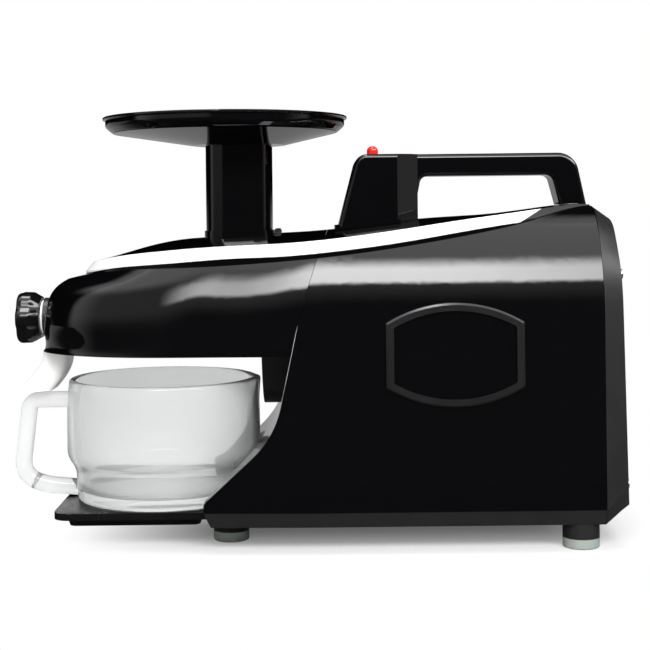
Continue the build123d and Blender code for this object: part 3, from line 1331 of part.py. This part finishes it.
export_step(feed_tray.part, "parts/feed_tray.step")
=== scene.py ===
import json
import math
import bpy
import numpy as np
from mathutils import Matrix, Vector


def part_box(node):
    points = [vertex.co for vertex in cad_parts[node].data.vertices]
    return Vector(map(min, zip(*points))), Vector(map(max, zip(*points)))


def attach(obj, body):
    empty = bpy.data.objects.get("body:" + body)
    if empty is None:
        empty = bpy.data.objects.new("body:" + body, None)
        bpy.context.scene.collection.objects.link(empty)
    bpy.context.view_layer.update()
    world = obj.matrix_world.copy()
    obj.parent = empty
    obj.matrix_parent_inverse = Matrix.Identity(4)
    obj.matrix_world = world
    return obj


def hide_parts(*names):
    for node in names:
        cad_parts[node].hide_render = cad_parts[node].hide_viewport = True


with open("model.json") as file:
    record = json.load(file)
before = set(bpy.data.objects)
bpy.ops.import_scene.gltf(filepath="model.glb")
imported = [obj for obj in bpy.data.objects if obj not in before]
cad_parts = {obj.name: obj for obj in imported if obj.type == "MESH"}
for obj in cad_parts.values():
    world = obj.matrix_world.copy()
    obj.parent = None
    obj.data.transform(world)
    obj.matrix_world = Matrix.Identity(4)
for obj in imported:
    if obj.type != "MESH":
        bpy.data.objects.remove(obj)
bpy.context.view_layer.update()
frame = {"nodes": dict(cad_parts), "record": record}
nodes = frame["nodes"]
scene = bpy.context.scene
mm = 0.001  # in metres
print("frame loaded:", len(nodes), "nodes")


# Another node's output is linked to the socket, a number or colour is set on it.
def feed(tree, value, socket):
    if isinstance(value, bpy.types.NodeSocket):
        tree.links.new(value, socket)
    else:
        socket.default_value = value


# One Math node over the values.
def calc(tree, kind, *values):
    node = tree.nodes.new("ShaderNodeMath")
    node.operation = kind
    for value, socket in zip(values, node.inputs):
        feed(tree, value, socket)
    return node.outputs[0]


# The source's start to end becomes low to high in a straight line, held beyond both.
def spread(tree, source, start, end, low=0.0, high=1.0, kind="LINEAR"):
    node = tree.nodes.new("ShaderNodeMapRange")
    node.interpolation_type = kind
    for key, value in (("Value", source), ("From Min", start), ("From Max", end),
                       ("To Min", low), ("To Max", high)):
        feed(tree, value, node.inputs[key])
    return node.outputs["Result"]


# The same with a soft start and end.
def eased(tree, source, start, end, low=0.0, high=1.0):
    return spread(tree, source, start, end, low, high, "SMOOTHSTEP")


# From first to second as share goes from 0 to 1; kind is RGBA for colours, FLOAT for numbers.
def mixed(tree, kind, share, first, second):
    node = tree.nodes.new("ShaderNodeMix")
    node.data_type = kind
    for key, value in (("Factor", share), ("A", first), ("B", second)):
        feed(tree, value, node.inputs[key])
    return node.outputs["Result"]


# The X, Y and Z outputs of a vector.
def axes(tree, source):
    node = tree.nodes.new("ShaderNodeSeparateXYZ")
    tree.links.new(source, node.inputs[0])
    return node.outputs


def objectCoords(tree):
    return tree.nodes.new("ShaderNodeTexCoord").outputs["Object"]


# Noise on object coordinates, drawn out along the axes by the scales in stretch.
def noise(tree, scale, detail=2.0, stretch=None):
    source = objectCoords(tree)
    if stretch:
        mapping = tree.nodes.new("ShaderNodeMapping")
        mapping.inputs["Scale"].default_value = stretch
        tree.links.new(source, mapping.inputs["Vector"])
        source = mapping.outputs["Vector"]
    texture = tree.nodes.new("ShaderNodeTexNoise")
    for key, value in (("Vector", source), ("Scale", scale), ("Detail", detail)):
        feed(tree, value, texture.inputs[key])
    return texture.outputs["Fac"]


# Material that holds its output and a Principled shader, joined.
def newMaterial(name):
    material = bpy.data.materials.new(name)
    material.use_nodes = True
    tree = material.node_tree
    tree.nodes.clear()
    output = tree.nodes.new("ShaderNodeOutputMaterial")
    shader = tree.nodes.new("ShaderNodeBsdfPrincipled")
    tree.links.new(shader.outputs["BSDF"], output.inputs["Surface"])
    return material, tree, shader


# the noise behind every tone; most of it lies between the two values of range
unevenness = {"scale": 60.0, "detail": 3.0, "range": (0.3, 0.7)}
# the fine bump of moulded surfaces
fineGrain = {"detail": 1.0, "strength": 0.5}

# Tones from dark to light, least and most roughness. Grain is the bump's noise scale and
# its height in metres; stretch draws the tones out into lines.
finishes = {
    "gloss_black": {"name": "glossBlack", "dark": (0.0012, 0.0012, 0.0015),
                    "light": (0.002, 0.002, 0.0024), "rough": (0.035, 0.06)},
    "satin_black": {"name": "satinBlack", "dark": (0.011, 0.011, 0.0115),
                    "light": (0.014, 0.014, 0.0145), "rough": (0.30, 0.40),
                    "grain": (1400.0, 0.00006)},
    "ledge_black": {"name": "ledgeBlack", "dark": (0.003, 0.003, 0.0032),
                    "light": (0.0045, 0.0045, 0.005), "rough": (0.2, 0.28)},
    "knob_black": {"name": "knobBlack", "dark": (0.003, 0.003, 0.003),
                   "light": (0.005, 0.005, 0.005), "rough": (0.10, 0.16)},
    "badge_satin": {"name": "badgeSatin", "dark": (0.008, 0.008, 0.0083),
                    "light": (0.011, 0.011, 0.0113), "rough": (0.20, 0.27)},
    "trim_white": {"name": "trimWhite", "dark": (0.86, 0.86, 0.86),
                   "light": (0.90, 0.90, 0.90), "rough": (0.25, 0.35)},
    "spout_white": {"name": "spoutWhite", "dark": (0.88, 0.88, 0.86),
                    "light": (0.93, 0.93, 0.91), "rough": (0.35, 0.45),
                    "grain": (900.0, 0.00004)},
    "button_red": {"name": "buttonRed", "dark": (0.62, 0.012, 0.010),
                   "light": (0.74, 0.018, 0.014), "rough": (0.12, 0.2)},
    "foot_soft": {"name": "footSoft", "dark": (0.22, 0.25, 0.22),
                  "light": (0.28, 0.31, 0.28), "rough": (0.5, 0.62),
                  "grain": (700.0, 0.00008)},
    "seal_rubber": {"name": "sealRubber", "dark": (0.02, 0.02, 0.02),
                    "light": (0.035, 0.035, 0.035), "rough": (0.6, 0.75)},
    "inner_grey": {"name": "innerGrey", "dark": (0.05, 0.05, 0.053),
                   "light": (0.075, 0.075, 0.08), "rough": (0.45, 0.6),
                   "grain": (800.0, 0.00006)},
    "gear_resin": {"name": "gearResin", "dark": (0.66, 0.58, 0.40),
                   "light": (0.74, 0.66, 0.48), "rough": (0.35, 0.5)},
    "screw_steel": {"name": "screwSteel", "dark": (0.50, 0.50, 0.51),
                    "light": (0.60, 0.60, 0.61), "rough": (0.22, 0.34), "metallic": 1.0},
    "screen_steel": {"name": "screenSteel", "dark": (0.56, 0.56, 0.57),
                     "light": (0.66, 0.66, 0.67), "rough": (0.2, 0.34), "metallic": 1.0,
                     "stretch": (1, 14, 14)},
    "core_steel": {"name": "coreSteel", "dark": (0.12, 0.12, 0.13),
                   "light": (0.22, 0.22, 0.24), "rough": (0.4, 0.55), "metallic": 0.8,
                   "stretch": (260, 1, 1)},
    "case_alloy": {"name": "caseAlloy", "dark": (0.52, 0.52, 0.54),
                   "light": (0.62, 0.62, 0.64), "rough": (0.4, 0.55), "metallic": 1.0,
                   "grain": (500.0, 0.0001)},
    "coil_copper": {"name": "coilCopper", "dark": (0.45, 0.17, 0.06),
                    "light": (0.60, 0.27, 0.11), "rough": (0.25, 0.4), "metallic": 0.8,
                    "stretch": (120, 4, 4)},
    "bush_bronze": {"name": "bushBronze", "dark": (0.46, 0.30, 0.12),
                    "light": (0.58, 0.40, 0.18), "rough": (0.35, 0.5), "metallic": 1.0},
}


# Moulded or metal surface: one noise carries the tone from dark to light and the
# roughness from its first to its second value.
def makeFinish(name, dark, light, rough, metallic=0.0, grain=None, stretch=None):
    material, tree, shader = newMaterial(name)
    shader.inputs["Metallic"].default_value = metallic
    source = noise(tree, unevenness["scale"], unevenness["detail"], stretch)
    tone = mixed(tree, "RGBA", source, (*dark, 1), (*light, 1))
    feed(tree, tone, shader.inputs["Base Color"])
    feed(tree, spread(tree, source, *unevenness["range"], *rough), shader.inputs["Roughness"])
    if grain:
        scale, height = grain
        bump = tree.nodes.new("ShaderNodeBump")
        for key, value in (("Strength", fineGrain["strength"]), ("Distance", height),
                           ("Height", noise(tree, scale, fineGrain["detail"]))):
            feed(tree, value, bump.inputs[key])
        feed(tree, bump.outputs["Normal"], shader.inputs["Normal"])
    return material


# pressed glass, a little milky, hardly uneven
glassLook = {"tint": (0.90, 0.91, 0.905), "clear": 0.75, "ior": 1.30, "scale": 8.0,
             "rough": (0.0, 0.02)}


def makeGlass():
    material, tree, shader = newMaterial("jugGlass")
    shader.inputs["Base Color"].default_value = (*glassLook["tint"], 1)
    shader.inputs["Transmission Weight"].default_value = glassLook["clear"]
    shader.inputs["IOR"].default_value = glassLook["ior"]
    source = noise(tree, glassLook["scale"])
    feed(tree, spread(tree, source, *unevenness["range"], *glassLook["rough"]),
         shader.inputs["Roughness"])
    return material


# metres: the strip ends at a line through x and z, which climbs by slope along X
stripEnd = {"x": 0.1588, "z": 0.2368, "slope": 0.57, "soft": 0.0003,
            "beyond": (0.004, 0.004, 0.004)}


# The base colour stays where z less slope times x is above the line's own value, and
# turns into the colour beyond where it is below.
def endStrip(material):
    tree = material.node_tree
    shader = next(node for node in tree.nodes if node.type == "BSDF_PRINCIPLED")
    white = shader.inputs["Base Color"].links[0].from_socket
    place = axes(tree, objectCoords(tree))
    above = calc(tree, "MULTIPLY_ADD", place["X"], -stripEnd["slope"], place["Z"])
    level = stripEnd["z"] - stripEnd["slope"] * stripEnd["x"]
    share = spread(tree, above, level - stripEnd["soft"], level + stripEnd["soft"])
    ended = mixed(tree, "RGBA", share, (*stripEnd["beyond"], 1), white)
    feed(tree, ended, shader.inputs["Base Color"])


looks = {slot: makeFinish(**finish) for slot, finish in finishes.items()}
looks["jug_glass"] = makeGlass()
endStrip(looks["trim_white"])
# nodes whose finish isn't that of their slot
ownLooks = {"jug_ledge": "ledge_black", "outlet_knob": "knob_black",
            "badge_frame": "badge_satin"}
for entry in frame["record"]["subparts"]:
    node = nodes[entry["node"]]
    node.data.materials.clear()
    node.data.materials.append(looks[ownLooks.get(entry["node"], entry["material_slot"])])
print("finishes done:", len(looks))


# Corners joined by straight lines. Each inner corner becomes a quadratic curve that
# leaves and meets its two sides at the cut's length from the corner.
def roundedLine(corners, cuts, steps=10):
    corners = np.array(corners, float)
    cuts = np.array(cuts, float)[:, None]
    middle = corners[1:-1]
    before, after = corners[:-2] - middle, corners[2:] - middle
    start = middle + cuts * before / np.linalg.norm(before, axis=1, keepdims=True)
    end = middle + cuts * after / np.linalg.norm(after, axis=1, keepdims=True)
    t = np.linspace(0, 1, steps)[None, :, None]
    curve = ((1 - t) ** 2 * start[:, None] + 2 * t * (1 - t) * middle[:, None]
             + t ** 2 * end[:, None])
    return np.vstack([corners[:1], curve.reshape(-1, corners.shape[1]), corners[-1:]])


# The line's points again, evenly spaced about gap apart.
def spaced(line, gap):
    pieces = np.linalg.norm(np.diff(line, axis=0), axis=1)
    length = np.concatenate([[0], np.cumsum(pieces)])
    places = np.linspace(0, length[-1], max(2, int(length[-1] / gap) + 1))
    return np.stack([np.interp(places, length, column) for column in line.T], axis=1)


def meshObject(name, points, faces, material, smooth):
    mesh = bpy.data.meshes.new(name)
    mesh.from_pydata(points.tolist(), [], faces)
    mesh.polygons.foreach_set("use_smooth", np.full(len(mesh.polygons), smooth))
    mesh.materials.append(material)
    thing = bpy.data.objects.new(name, mesh)
    scene.collection.objects.link(thing)
    return thing


# Mesh from rings of points shaped (rings, points, 3), each joined to the next by
# four-sided faces; a fan to one point closes either end.
def closedObject(name, rings, first, last, material):
    rows, columns, _ = rings.shape
    index = np.arange(rows * columns).reshape(rows, columns)
    turned = np.roll(index, -1, axis=1)
    sides = np.stack([index[:-1], turned[:-1], turned[1:], index[1:]], axis=-1).reshape(-1, 4)
    firstFan = np.stack([turned[0], index[0], np.full(columns, rows * columns)], axis=-1)
    lastFan = np.stack([index[-1], turned[-1], np.full(columns, rows * columns + 1)], axis=-1)
    points = np.vstack([rings.reshape(-1, 3), first, last])
    return meshObject(name, points, sides.tolist() + firstFan.tolist() + lastFan.tolist(),
                      material, True)


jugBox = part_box("glass_jug")
# Millimetres. Outside from the foot up and inside from the rim down, as (radius, height
# over the foot); cuts round the corners from the foot round to the inner floor.
jug = {"x": -114.0, "foot": jugBox[0][2] / mm, "rim": jugBox[1][2] / mm,
       "outside": ((66.0, 0.0), (67.0, 24.0), (73.6, 33.5), (73.6, 72.0)),
       "rimRadius": 71.8, "wall": 5.2,
       "inside": ((68.6, 72.0), (68.6, 34.5), (61.5, 25.5), (60.5, 7.0)),
       "cuts": (3.5, 5.0, 5.0, 12.0, 2.5, 2.5, 12.0, 6.0, 6.0, 8.0),
       "beak": 3.0, "beakHalf": 0.16, "beakLow": 97.0, "beakPower": 1.5, "beakRadius": 60.0,
       "gap": 1.2, "around": 144}


# Profile turned about the jug's axis. Near +X the radius beyond beakRadius swells by a
# bell in the angle times a power of the height above beakLow, which makes the beak.
def makeJug():
    outside = [(radius, jug["foot"] + z) for radius, z in jug["outside"]]
    inside = [(radius, jug["foot"] + z) for radius, z in jug["inside"]]
    rim = [(jug["rimRadius"], jug["rim"]), (jug["rimRadius"] - jug["wall"], jug["rim"])]
    corners = [(0.0, jug["foot"]), *outside, *rim, *inside, (0.0, inside[-1][1])]
    profile = spaced(roundedLine(corners, jug["cuts"]), jug["gap"])
    radius, height = profile[1:-1, 0, None], profile[1:-1, 1, None]
    turn = np.linspace(0, 2 * np.pi, jug["around"], endpoint=False)
    angle = np.where(turn > np.pi, turn - 2 * np.pi, turn)
    rise = np.clip((height - jug["beakLow"]) / (jug["rim"] - jug["beakLow"]), 0, 1)
    swell = (jug["beak"] * rise ** jug["beakPower"]
             * np.exp(-(angle / jug["beakHalf"]) ** 2))
    reach = radius + swell * (radius > jug["beakRadius"])
    rings = np.stack([jug["x"] + reach * np.cos(turn), reach * np.sin(turn),
                      height + 0 * reach], axis=-1) * mm
    ends = [np.array([jug["x"], 0, profile[k, 1]]) * mm for k in (0, -1)]
    bowl = closedObject("glassJug", rings, *ends, looks["jug_glass"])
    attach(bowl, "jug_body")
    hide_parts("glass_jug")


# millimetres: middle line in the plane of the jug's axis, as (x, z), from the top arm
# down; shape is the power of the section, from 2 for an ellipse to a full rectangle
handle = {"line": ((-184.5, 101.7), (-216.8, 101.7), (-223.6, 44.0), (-206.0, 36.5),
                   (-179.5, 34.2)),
          "cuts": (8.0, 13.0, 9.0), "thick": 11.8, "width": 14.0, "shape": 3.2,
          "gap": 1.2, "around": 40}


# Tube along the middle line; its section is a superellipse of thick by width.
def makeHandle():
    line = spaced(roundedLine(handle["line"], handle["cuts"]), handle["gap"])
    tangent = np.gradient(line, axis=0)
    tangent /= np.linalg.norm(tangent, axis=1, keepdims=True)
    outward = np.stack([-tangent[:, 1], tangent[:, 0]], axis=1)
    turn = np.linspace(0, 2 * np.pi, handle["around"], endpoint=False)
    power = 2 / handle["shape"]
    across = handle["thick"] / 2 * np.sign(np.cos(turn)) * abs(np.cos(turn)) ** power
    aside = handle["width"] / 2 * np.sign(np.sin(turn)) * abs(np.sin(turn)) ** power
    plan = line[:, None] + across[None, :, None] * outward[:, None]
    rings = np.stack([plan[..., 0], np.broadcast_to(-aside, plan.shape[:2]),
                      plan[..., 1]], axis=-1) * mm
    ends = [np.array([line[k, 0], 0, line[k, 1]]) * mm for k in (0, -1)]
    tube = closedObject("jugHandle", rings, *ends, looks["jug_glass"])
    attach(tube, "jug_body")


makeJug()
makeHandle()
print("jug done")

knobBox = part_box("outlet_knob")
# millimetres: (x, radius over the lobes, depth of the valleys), from the stem's end forward
knob = {"line": ((-179.5, 0, 0), (-179.5, 5, 0), (-206.8, 5, 0), (-206.8, 16.2, 0.9),
                 (-208.4, 17.0, 1.3), (-213.6, 20.3, 2.7), (-221.8, 20.6, 2.7),
                 (-224.4, 18.6, 2.4), (-224.4, 13.2, 0), (-223.2, 11.6, 0), (-223.2, 0, 0)),
        "cuts": (0.6, 0.4, 0.4, 0.6, 1.0, 1.6, 1.2, 0.8, 0.6), "lobes": 6,
        "axis": (knobBox[0][2] + knobBox[1][2]) / 2 / mm, "gap": 0.6, "around": 180}


# Profile turned about the X axis. The radius loses the valley's depth times the square of
# (1 - cos(lobes * angle)) / 2, so one lobe faces the near side.
def makeKnob():
    profile = spaced(roundedLine(knob["line"], knob["cuts"]), knob["gap"])
    along, radius, depth = (profile[1:-1, k, None] for k in range(3))
    turn = np.linspace(0, 2 * np.pi, knob["around"], endpoint=False)
    radius = radius - depth * ((1 - np.cos(knob["lobes"] * turn)) / 2) ** 2
    rings = np.stack([along + 0 * radius, -radius * np.cos(turn),
                      knob["axis"] + radius * np.sin(turn)], axis=-1) * mm
    ends = [np.array([profile[k, 0], 0, knob["axis"]]) * mm for k in (0, -1)]
    turned = closedObject("outletKnob", rings, *ends, looks["knob_black"])
    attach(turned, "knob_body")
    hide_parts("outlet_knob")


makeKnob()
print("knob done")

# Metres. Points crowd towards the middle and the near edge by the powers in crowd. The
# white share is least on a rectangle about middleX and full at reach from it; far off it is
# the evenly white floor, near the object it is painted light that lifts the floor's shadow
# and fades it out by reach. Mirrored rays see a painted reflection of the floor: the first
# strength in mirrored, and the second beyond mirroredFrom along Y.
stage = {"near": -0.335, "far": 3.0, "side": 3.0, "points": (161, 201), "crowd": (3, 2),
         "dark": (0.74, 0.74, 0.74), "light": (0.76, 0.76, 0.76), "scale": 3.0, "rough": 0.9,
         "middleX": 0.06, "halfX": 0.118, "halfY": 0.004, "least": 0.11, "reach": 0.125,
         "power": 1.5, "white": 1.0, "mirrored": (0.02, 0.42), "mirroredFrom": (0.08, 0.55)}


def emission(tree, strength):
    node = tree.nodes.new("ShaderNodeEmission")
    feed(tree, strength, node.inputs["Strength"])
    return node.outputs[0]


def mixedShaders(tree, share, first, second):
    node = tree.nodes.new("ShaderNodeMixShader")
    for value, socket in zip((share, first, second), node.inputs):
        tree.links.new(value, socket)
    return node.outputs[0]


# Pale matt floor. The camera and the glass see it turn white by its white-share attribute:
# evenly white far off, and painted light near the object that lifts and bounds its shadow.
# Mirrored rays see a painted reflection instead: a glow, dark near the object and paler
# towards the back.
def floorMaterial():
    material, tree, shader = newMaterial("paleFloor")
    tone = mixed(tree, "RGBA", noise(tree, stage["scale"]), (*stage["dark"], 1),
                 (*stage["light"], 1))
    feed(tree, tone, shader.inputs["Base Color"])
    shader.inputs["Roughness"].default_value = stage["rough"]
    shader.inputs["Specular IOR Level"].default_value = 0.0
    path = tree.nodes.new("ShaderNodeLightPath").outputs
    # white share: painted light near the object that lifts and bounds the floor's shadow, even
    # white far off
    floorWhiteAndPaintedLight = tree.nodes.new("ShaderNodeAttribute")
    floorWhiteAndPaintedLight.attribute_name = "floorWhiteAndPaintedLight"
    seen = calc(tree, "MAXIMUM", path["Is Camera Ray"], path["Is Transmission Ray"])
    share = calc(tree, "MULTIPLY", seen, floorWhiteAndPaintedLight.outputs["Fac"])
    faded = mixedShaders(tree, share, shader.outputs["BSDF"], emission(tree, stage["white"]))
    # painted reflection: mirrored rays see a glow graded along Y instead of the lit floor
    along = axes(tree, objectCoords(tree))["Y"]
    paintedReflection = emission(tree, eased(tree, along, *stage["mirroredFrom"], *stage["mirrored"]))
    mirror = calc(tree, "SUBTRACT", path["Is Glossy Ray"], path["Is Transmission Ray"])
    mirror.node.use_clamp = True
    output = next(node for node in tree.nodes if node.type == "OUTPUT_MATERIAL")
    feed(tree, mixedShaders(tree, mirror, faded, paintedReflection), output.inputs["Surface"])
    return material


# Flat grid, with the white-share attribute: least on the rectangle, rising to 1 at reach by a
# power of the distance from it; near the object this share is painted light on the shadow.
def makeFloor():
    columns, rows = stage["points"]
    across = stage["side"] * np.linspace(-1, 1, columns) ** stage["crowd"][0]
    ahead = np.linspace(0, 1, rows) ** stage["crowd"][1]
    x, y = np.meshgrid(across, stage["near"] + (stage["far"] - stage["near"]) * ahead)
    index = np.arange(rows * columns).reshape(rows, columns)
    faces = np.stack([index[:-1, :-1], index[:-1, 1:], index[1:, 1:], index[1:, :-1]],
                     axis=-1).reshape(-1, 4)
    points = np.stack([x, y, 0 * x], axis=-1).reshape(-1, 3)
    floor = meshObject("stageFloor", points, faces.tolist(), floorMaterial(), False)
    beyond = np.hypot(np.maximum(abs(x - stage["middleX"]) - stage["halfX"], 0),
                      np.maximum(abs(y) - stage["halfY"], 0)).ravel()
    part = np.clip(beyond / stage["reach"], 0, 1) ** stage["power"]
    floorWhiteAndPaintedLight = floor.data.attributes.new("floorWhiteAndPaintedLight", "FLOAT", "POINT")
    floorWhiteAndPaintedLight.data.foreach_set("value", stage["least"] + (1 - stage["least"]) * part)


makeFloor()
print("floor done")

# Metres and degrees. A lamp hangs at distance from aim, rise above the horizon on the near
# side. Soft holds the shares of its width and height over which its edges fade.
frontLamp = {"name": "frontBox", "aim": (0.30, -0.08, 0.19), "distance": 1.55, "rise": 33.5,
             "size": (1.9, 0.64), "radiance": 15.0, "soft": ((0.25, 0.1), (0.15, 0.25))}
topLamp = {"name": "topBox", "aim": (0.05, -0.10, 0.0), "distance": 1.9, "rise": 90.0,
           "size": (1.5, 0.34), "radiance": 20.0, "soft": ((0.2, 0.2), (0.2, 0.2))}


# Strength times an eased ramp from each of the lamp's four edges.
def fade(lamp, soft):
    lamp.use_nodes = True
    tree = lamp.node_tree
    glow = next(node for node in tree.nodes if node.type == "EMISSION")
    place = axes(tree, tree.nodes.new("ShaderNodeNewGeometry").outputs["Parametric"])
    level = 1.0
    for axis, (low, high) in zip("XY", soft):
        for start, end in ((0.0, low), (1.0, 1.0 - high)):
            level = calc(tree, "MULTIPLY", eased(tree, place[axis], start, end), level)
    feed(tree, level, glow.inputs["Strength"])


# Rectangular lamp that faces its aim. Its power is radiance times pi times its area, and
# shiny surfaces don't mirror it, because the world holds what they mirror.
def softbox(settings):
    lamp = bpy.data.lights.new(settings["name"], "AREA")
    lamp.shape = "RECTANGLE"
    lamp.size, lamp.size_y = settings["size"]
    lamp.energy = settings["radiance"] * math.pi * lamp.size * lamp.size_y
    fade(lamp, settings["soft"])
    rise = math.radians(settings["rise"])
    x, y, z = settings["aim"]
    holder = bpy.data.objects.new(settings["name"], lamp)
    holder.location = (x, y - settings["distance"] * math.cos(rise),
                       z + settings["distance"] * math.sin(rise))
    holder.rotation_euler = (math.pi / 2 - rise, 0, 0)
    holder.visible_glossy = False
    scene.collection.objects.link(holder)


softbox(frontLamp)
softbox(topLamp)

# Strengths of what mirrored rays see. Keys ending in From or To hold the angles in degrees
# over which a form comes or goes, and keys ending in Side the same along one axis of the
# ray's direction. The band and the glow hang lower by drop, in degrees, on the left.
room = {"band": 16.5, "bandFrom": (22.5, 27.0), "bandTo": (35.0, 48.0),
        "leftFrom": (-19.0, -1.0), "rightFrom": (5.0, 16.0), "rightShare": 0.66,
        "drop": 15.0, "dropTo": (-17.0, 0.0), "nearSide": (-0.10, 0.05),
        "sky": 1.4, "skyFrom": (25.0, 44.0), "skySide": (0.05, 0.35),
        "window": 10.0, "windowFrom": (72.0, 78.0), "windowSide": (-0.02, 0.05),
        "glow": 0.40, "glowFrom": (8.0, 23.0), "dark": 0.03,
        "end": 0.5, "endFrom": (60.0, 86.0),
        "ground": 0.40, "groundSide": (0.3, 0.8), "lowSide": (-0.02, 0.02),
        "ambient": 0.60, "backSide": (-0.05, 0.35), "topSide": (0.70, 0.95), "topDark": 0.02}


# The camera sees white. The glass sees white behind and above the object and topDark
# elsewhere, and diffuse rays see ambient. Mirrored rays see a dark room with a bright band
# of windows at one height, a pale ceiling, pale ends and a pale ground far behind.
def makeWorld():
    scene.world = bpy.data.worlds.new("studio")
    scene.world.use_nodes = True
    tree = scene.world.node_tree
    tree.nodes.clear()
    output = tree.nodes.new("ShaderNodeOutputWorld")
    background = tree.nodes.new("ShaderNodeBackground")
    tree.links.new(background.outputs[0], output.inputs[0])
    path = tree.nodes.new("ShaderNodeLightPath").outputs
    way = axes(tree, tree.nodes.new("ShaderNodeTexCoord").outputs["Generated"])

    def over(angle, key, low, high):
        start, end = (math.radians(limit) for limit in room[key])
        return eased(tree, angle, start, end, low, high)

    def side(axis, key, low, high):
        return eased(tree, way[axis], *room[key], low, high)

    def chain(kind, first, *others):
        for other in others:
            first = calc(tree, kind, first, other)
        return first

    azimuth = calc(tree, "ARCTAN2", way["X"], calc(tree, "MULTIPLY", way["Y"], -1.0))
    height = calc(tree, "ARCSINE", way["Z"])
    drop = over(azimuth, "dropTo", math.radians(room["drop"]), 0.0)
    raised = calc(tree, "ADD", height, drop)
    near = side("Y", "nearSide", 1.0, 0.0)
    band = chain("MULTIPLY", over(raised, "bandFrom", 0.0, room["band"]),
                 over(raised, "bandTo", 1.0, 0.0), over(azimuth, "leftFrom", 0.0, 1.0),
                 over(azimuth, "rightFrom", 1.0, room["rightShare"]), near)
    sky = chain("MULTIPLY", over(height, "skyFrom", 0.0, room["sky"]),
                side("Y", "skySide", 1.0, 0.0))
    window = chain("MULTIPLY", over(height, "windowFrom", 0.0, room["window"]),
                   side("X", "windowSide", 1.0, 0.0))
    glow = chain("MULTIPLY", over(raised, "glowFrom", room["dark"], room["glow"]), near)
    ends = chain("MULTIPLY", over(calc(tree, "ABSOLUTE", azimuth), "endFrom", 0.0, room["end"]),
                 near)
    ground = chain("MULTIPLY", side("Y", "groundSide", 0.0, room["ground"]),
                   side("Z", "lowSide", 1.0, 0.0))
    mirrored = chain("ADD", band, sky, window, glow, ends, ground)

    behind = chain("MULTIPLY", side("Y", "backSide", 0.0, 1.0), path["Is Transmission Ray"])
    through = chain("MAXIMUM", behind, side("Z", "topSide", room["topDark"], 1.0))
    level = mixed(tree, "FLOAT", path["Is Glossy Ray"], room["ambient"], mirrored)
    level = mixed(tree, "FLOAT", path["Is Transmission Ray"], level, through)
    level = calc(tree, "MAXIMUM", level, path["Is Camera Ray"])
    feed(tree, level, background.inputs["Strength"])
    background.inputs["Color"].default_value = (1, 1, 1, 1)


makeWorld()
print("lamps and world done")

# place in metres, roll in degrees, lens and sensor in millimetres, shift as shares
cameraView = {"place": (0.00765, -1.0734, 0.2433), "roll": 0.65, "lens": 77.2, "sensor": 36.0,
              "shift": (0.0077, -0.1734)}


# Level camera that looks along +Y, turned by roll about its own axis.
def placeCamera():
    lens = bpy.data.cameras.new("camera")
    lens.sensor_width = cameraView["sensor"]
    lens.lens = cameraView["lens"]
    lens.shift_x, lens.shift_y = cameraView["shift"]
    holder = bpy.data.objects.new("camera", lens)
    roll = math.radians(cameraView["roll"])
    x, y, z = cameraView["place"]
    holder.matrix_world = Matrix([[math.cos(roll), math.sin(roll), 0, x],
                                  [0, 0, -1, y],
                                  [-math.sin(roll), math.cos(roll), 0, z],
                                  [0, 0, 0, 1]])
    scene.collection.objects.link(holder)
    scene.camera = holder


placeCamera()
scene.view_settings.view_transform = "Standard"
print("camera done")
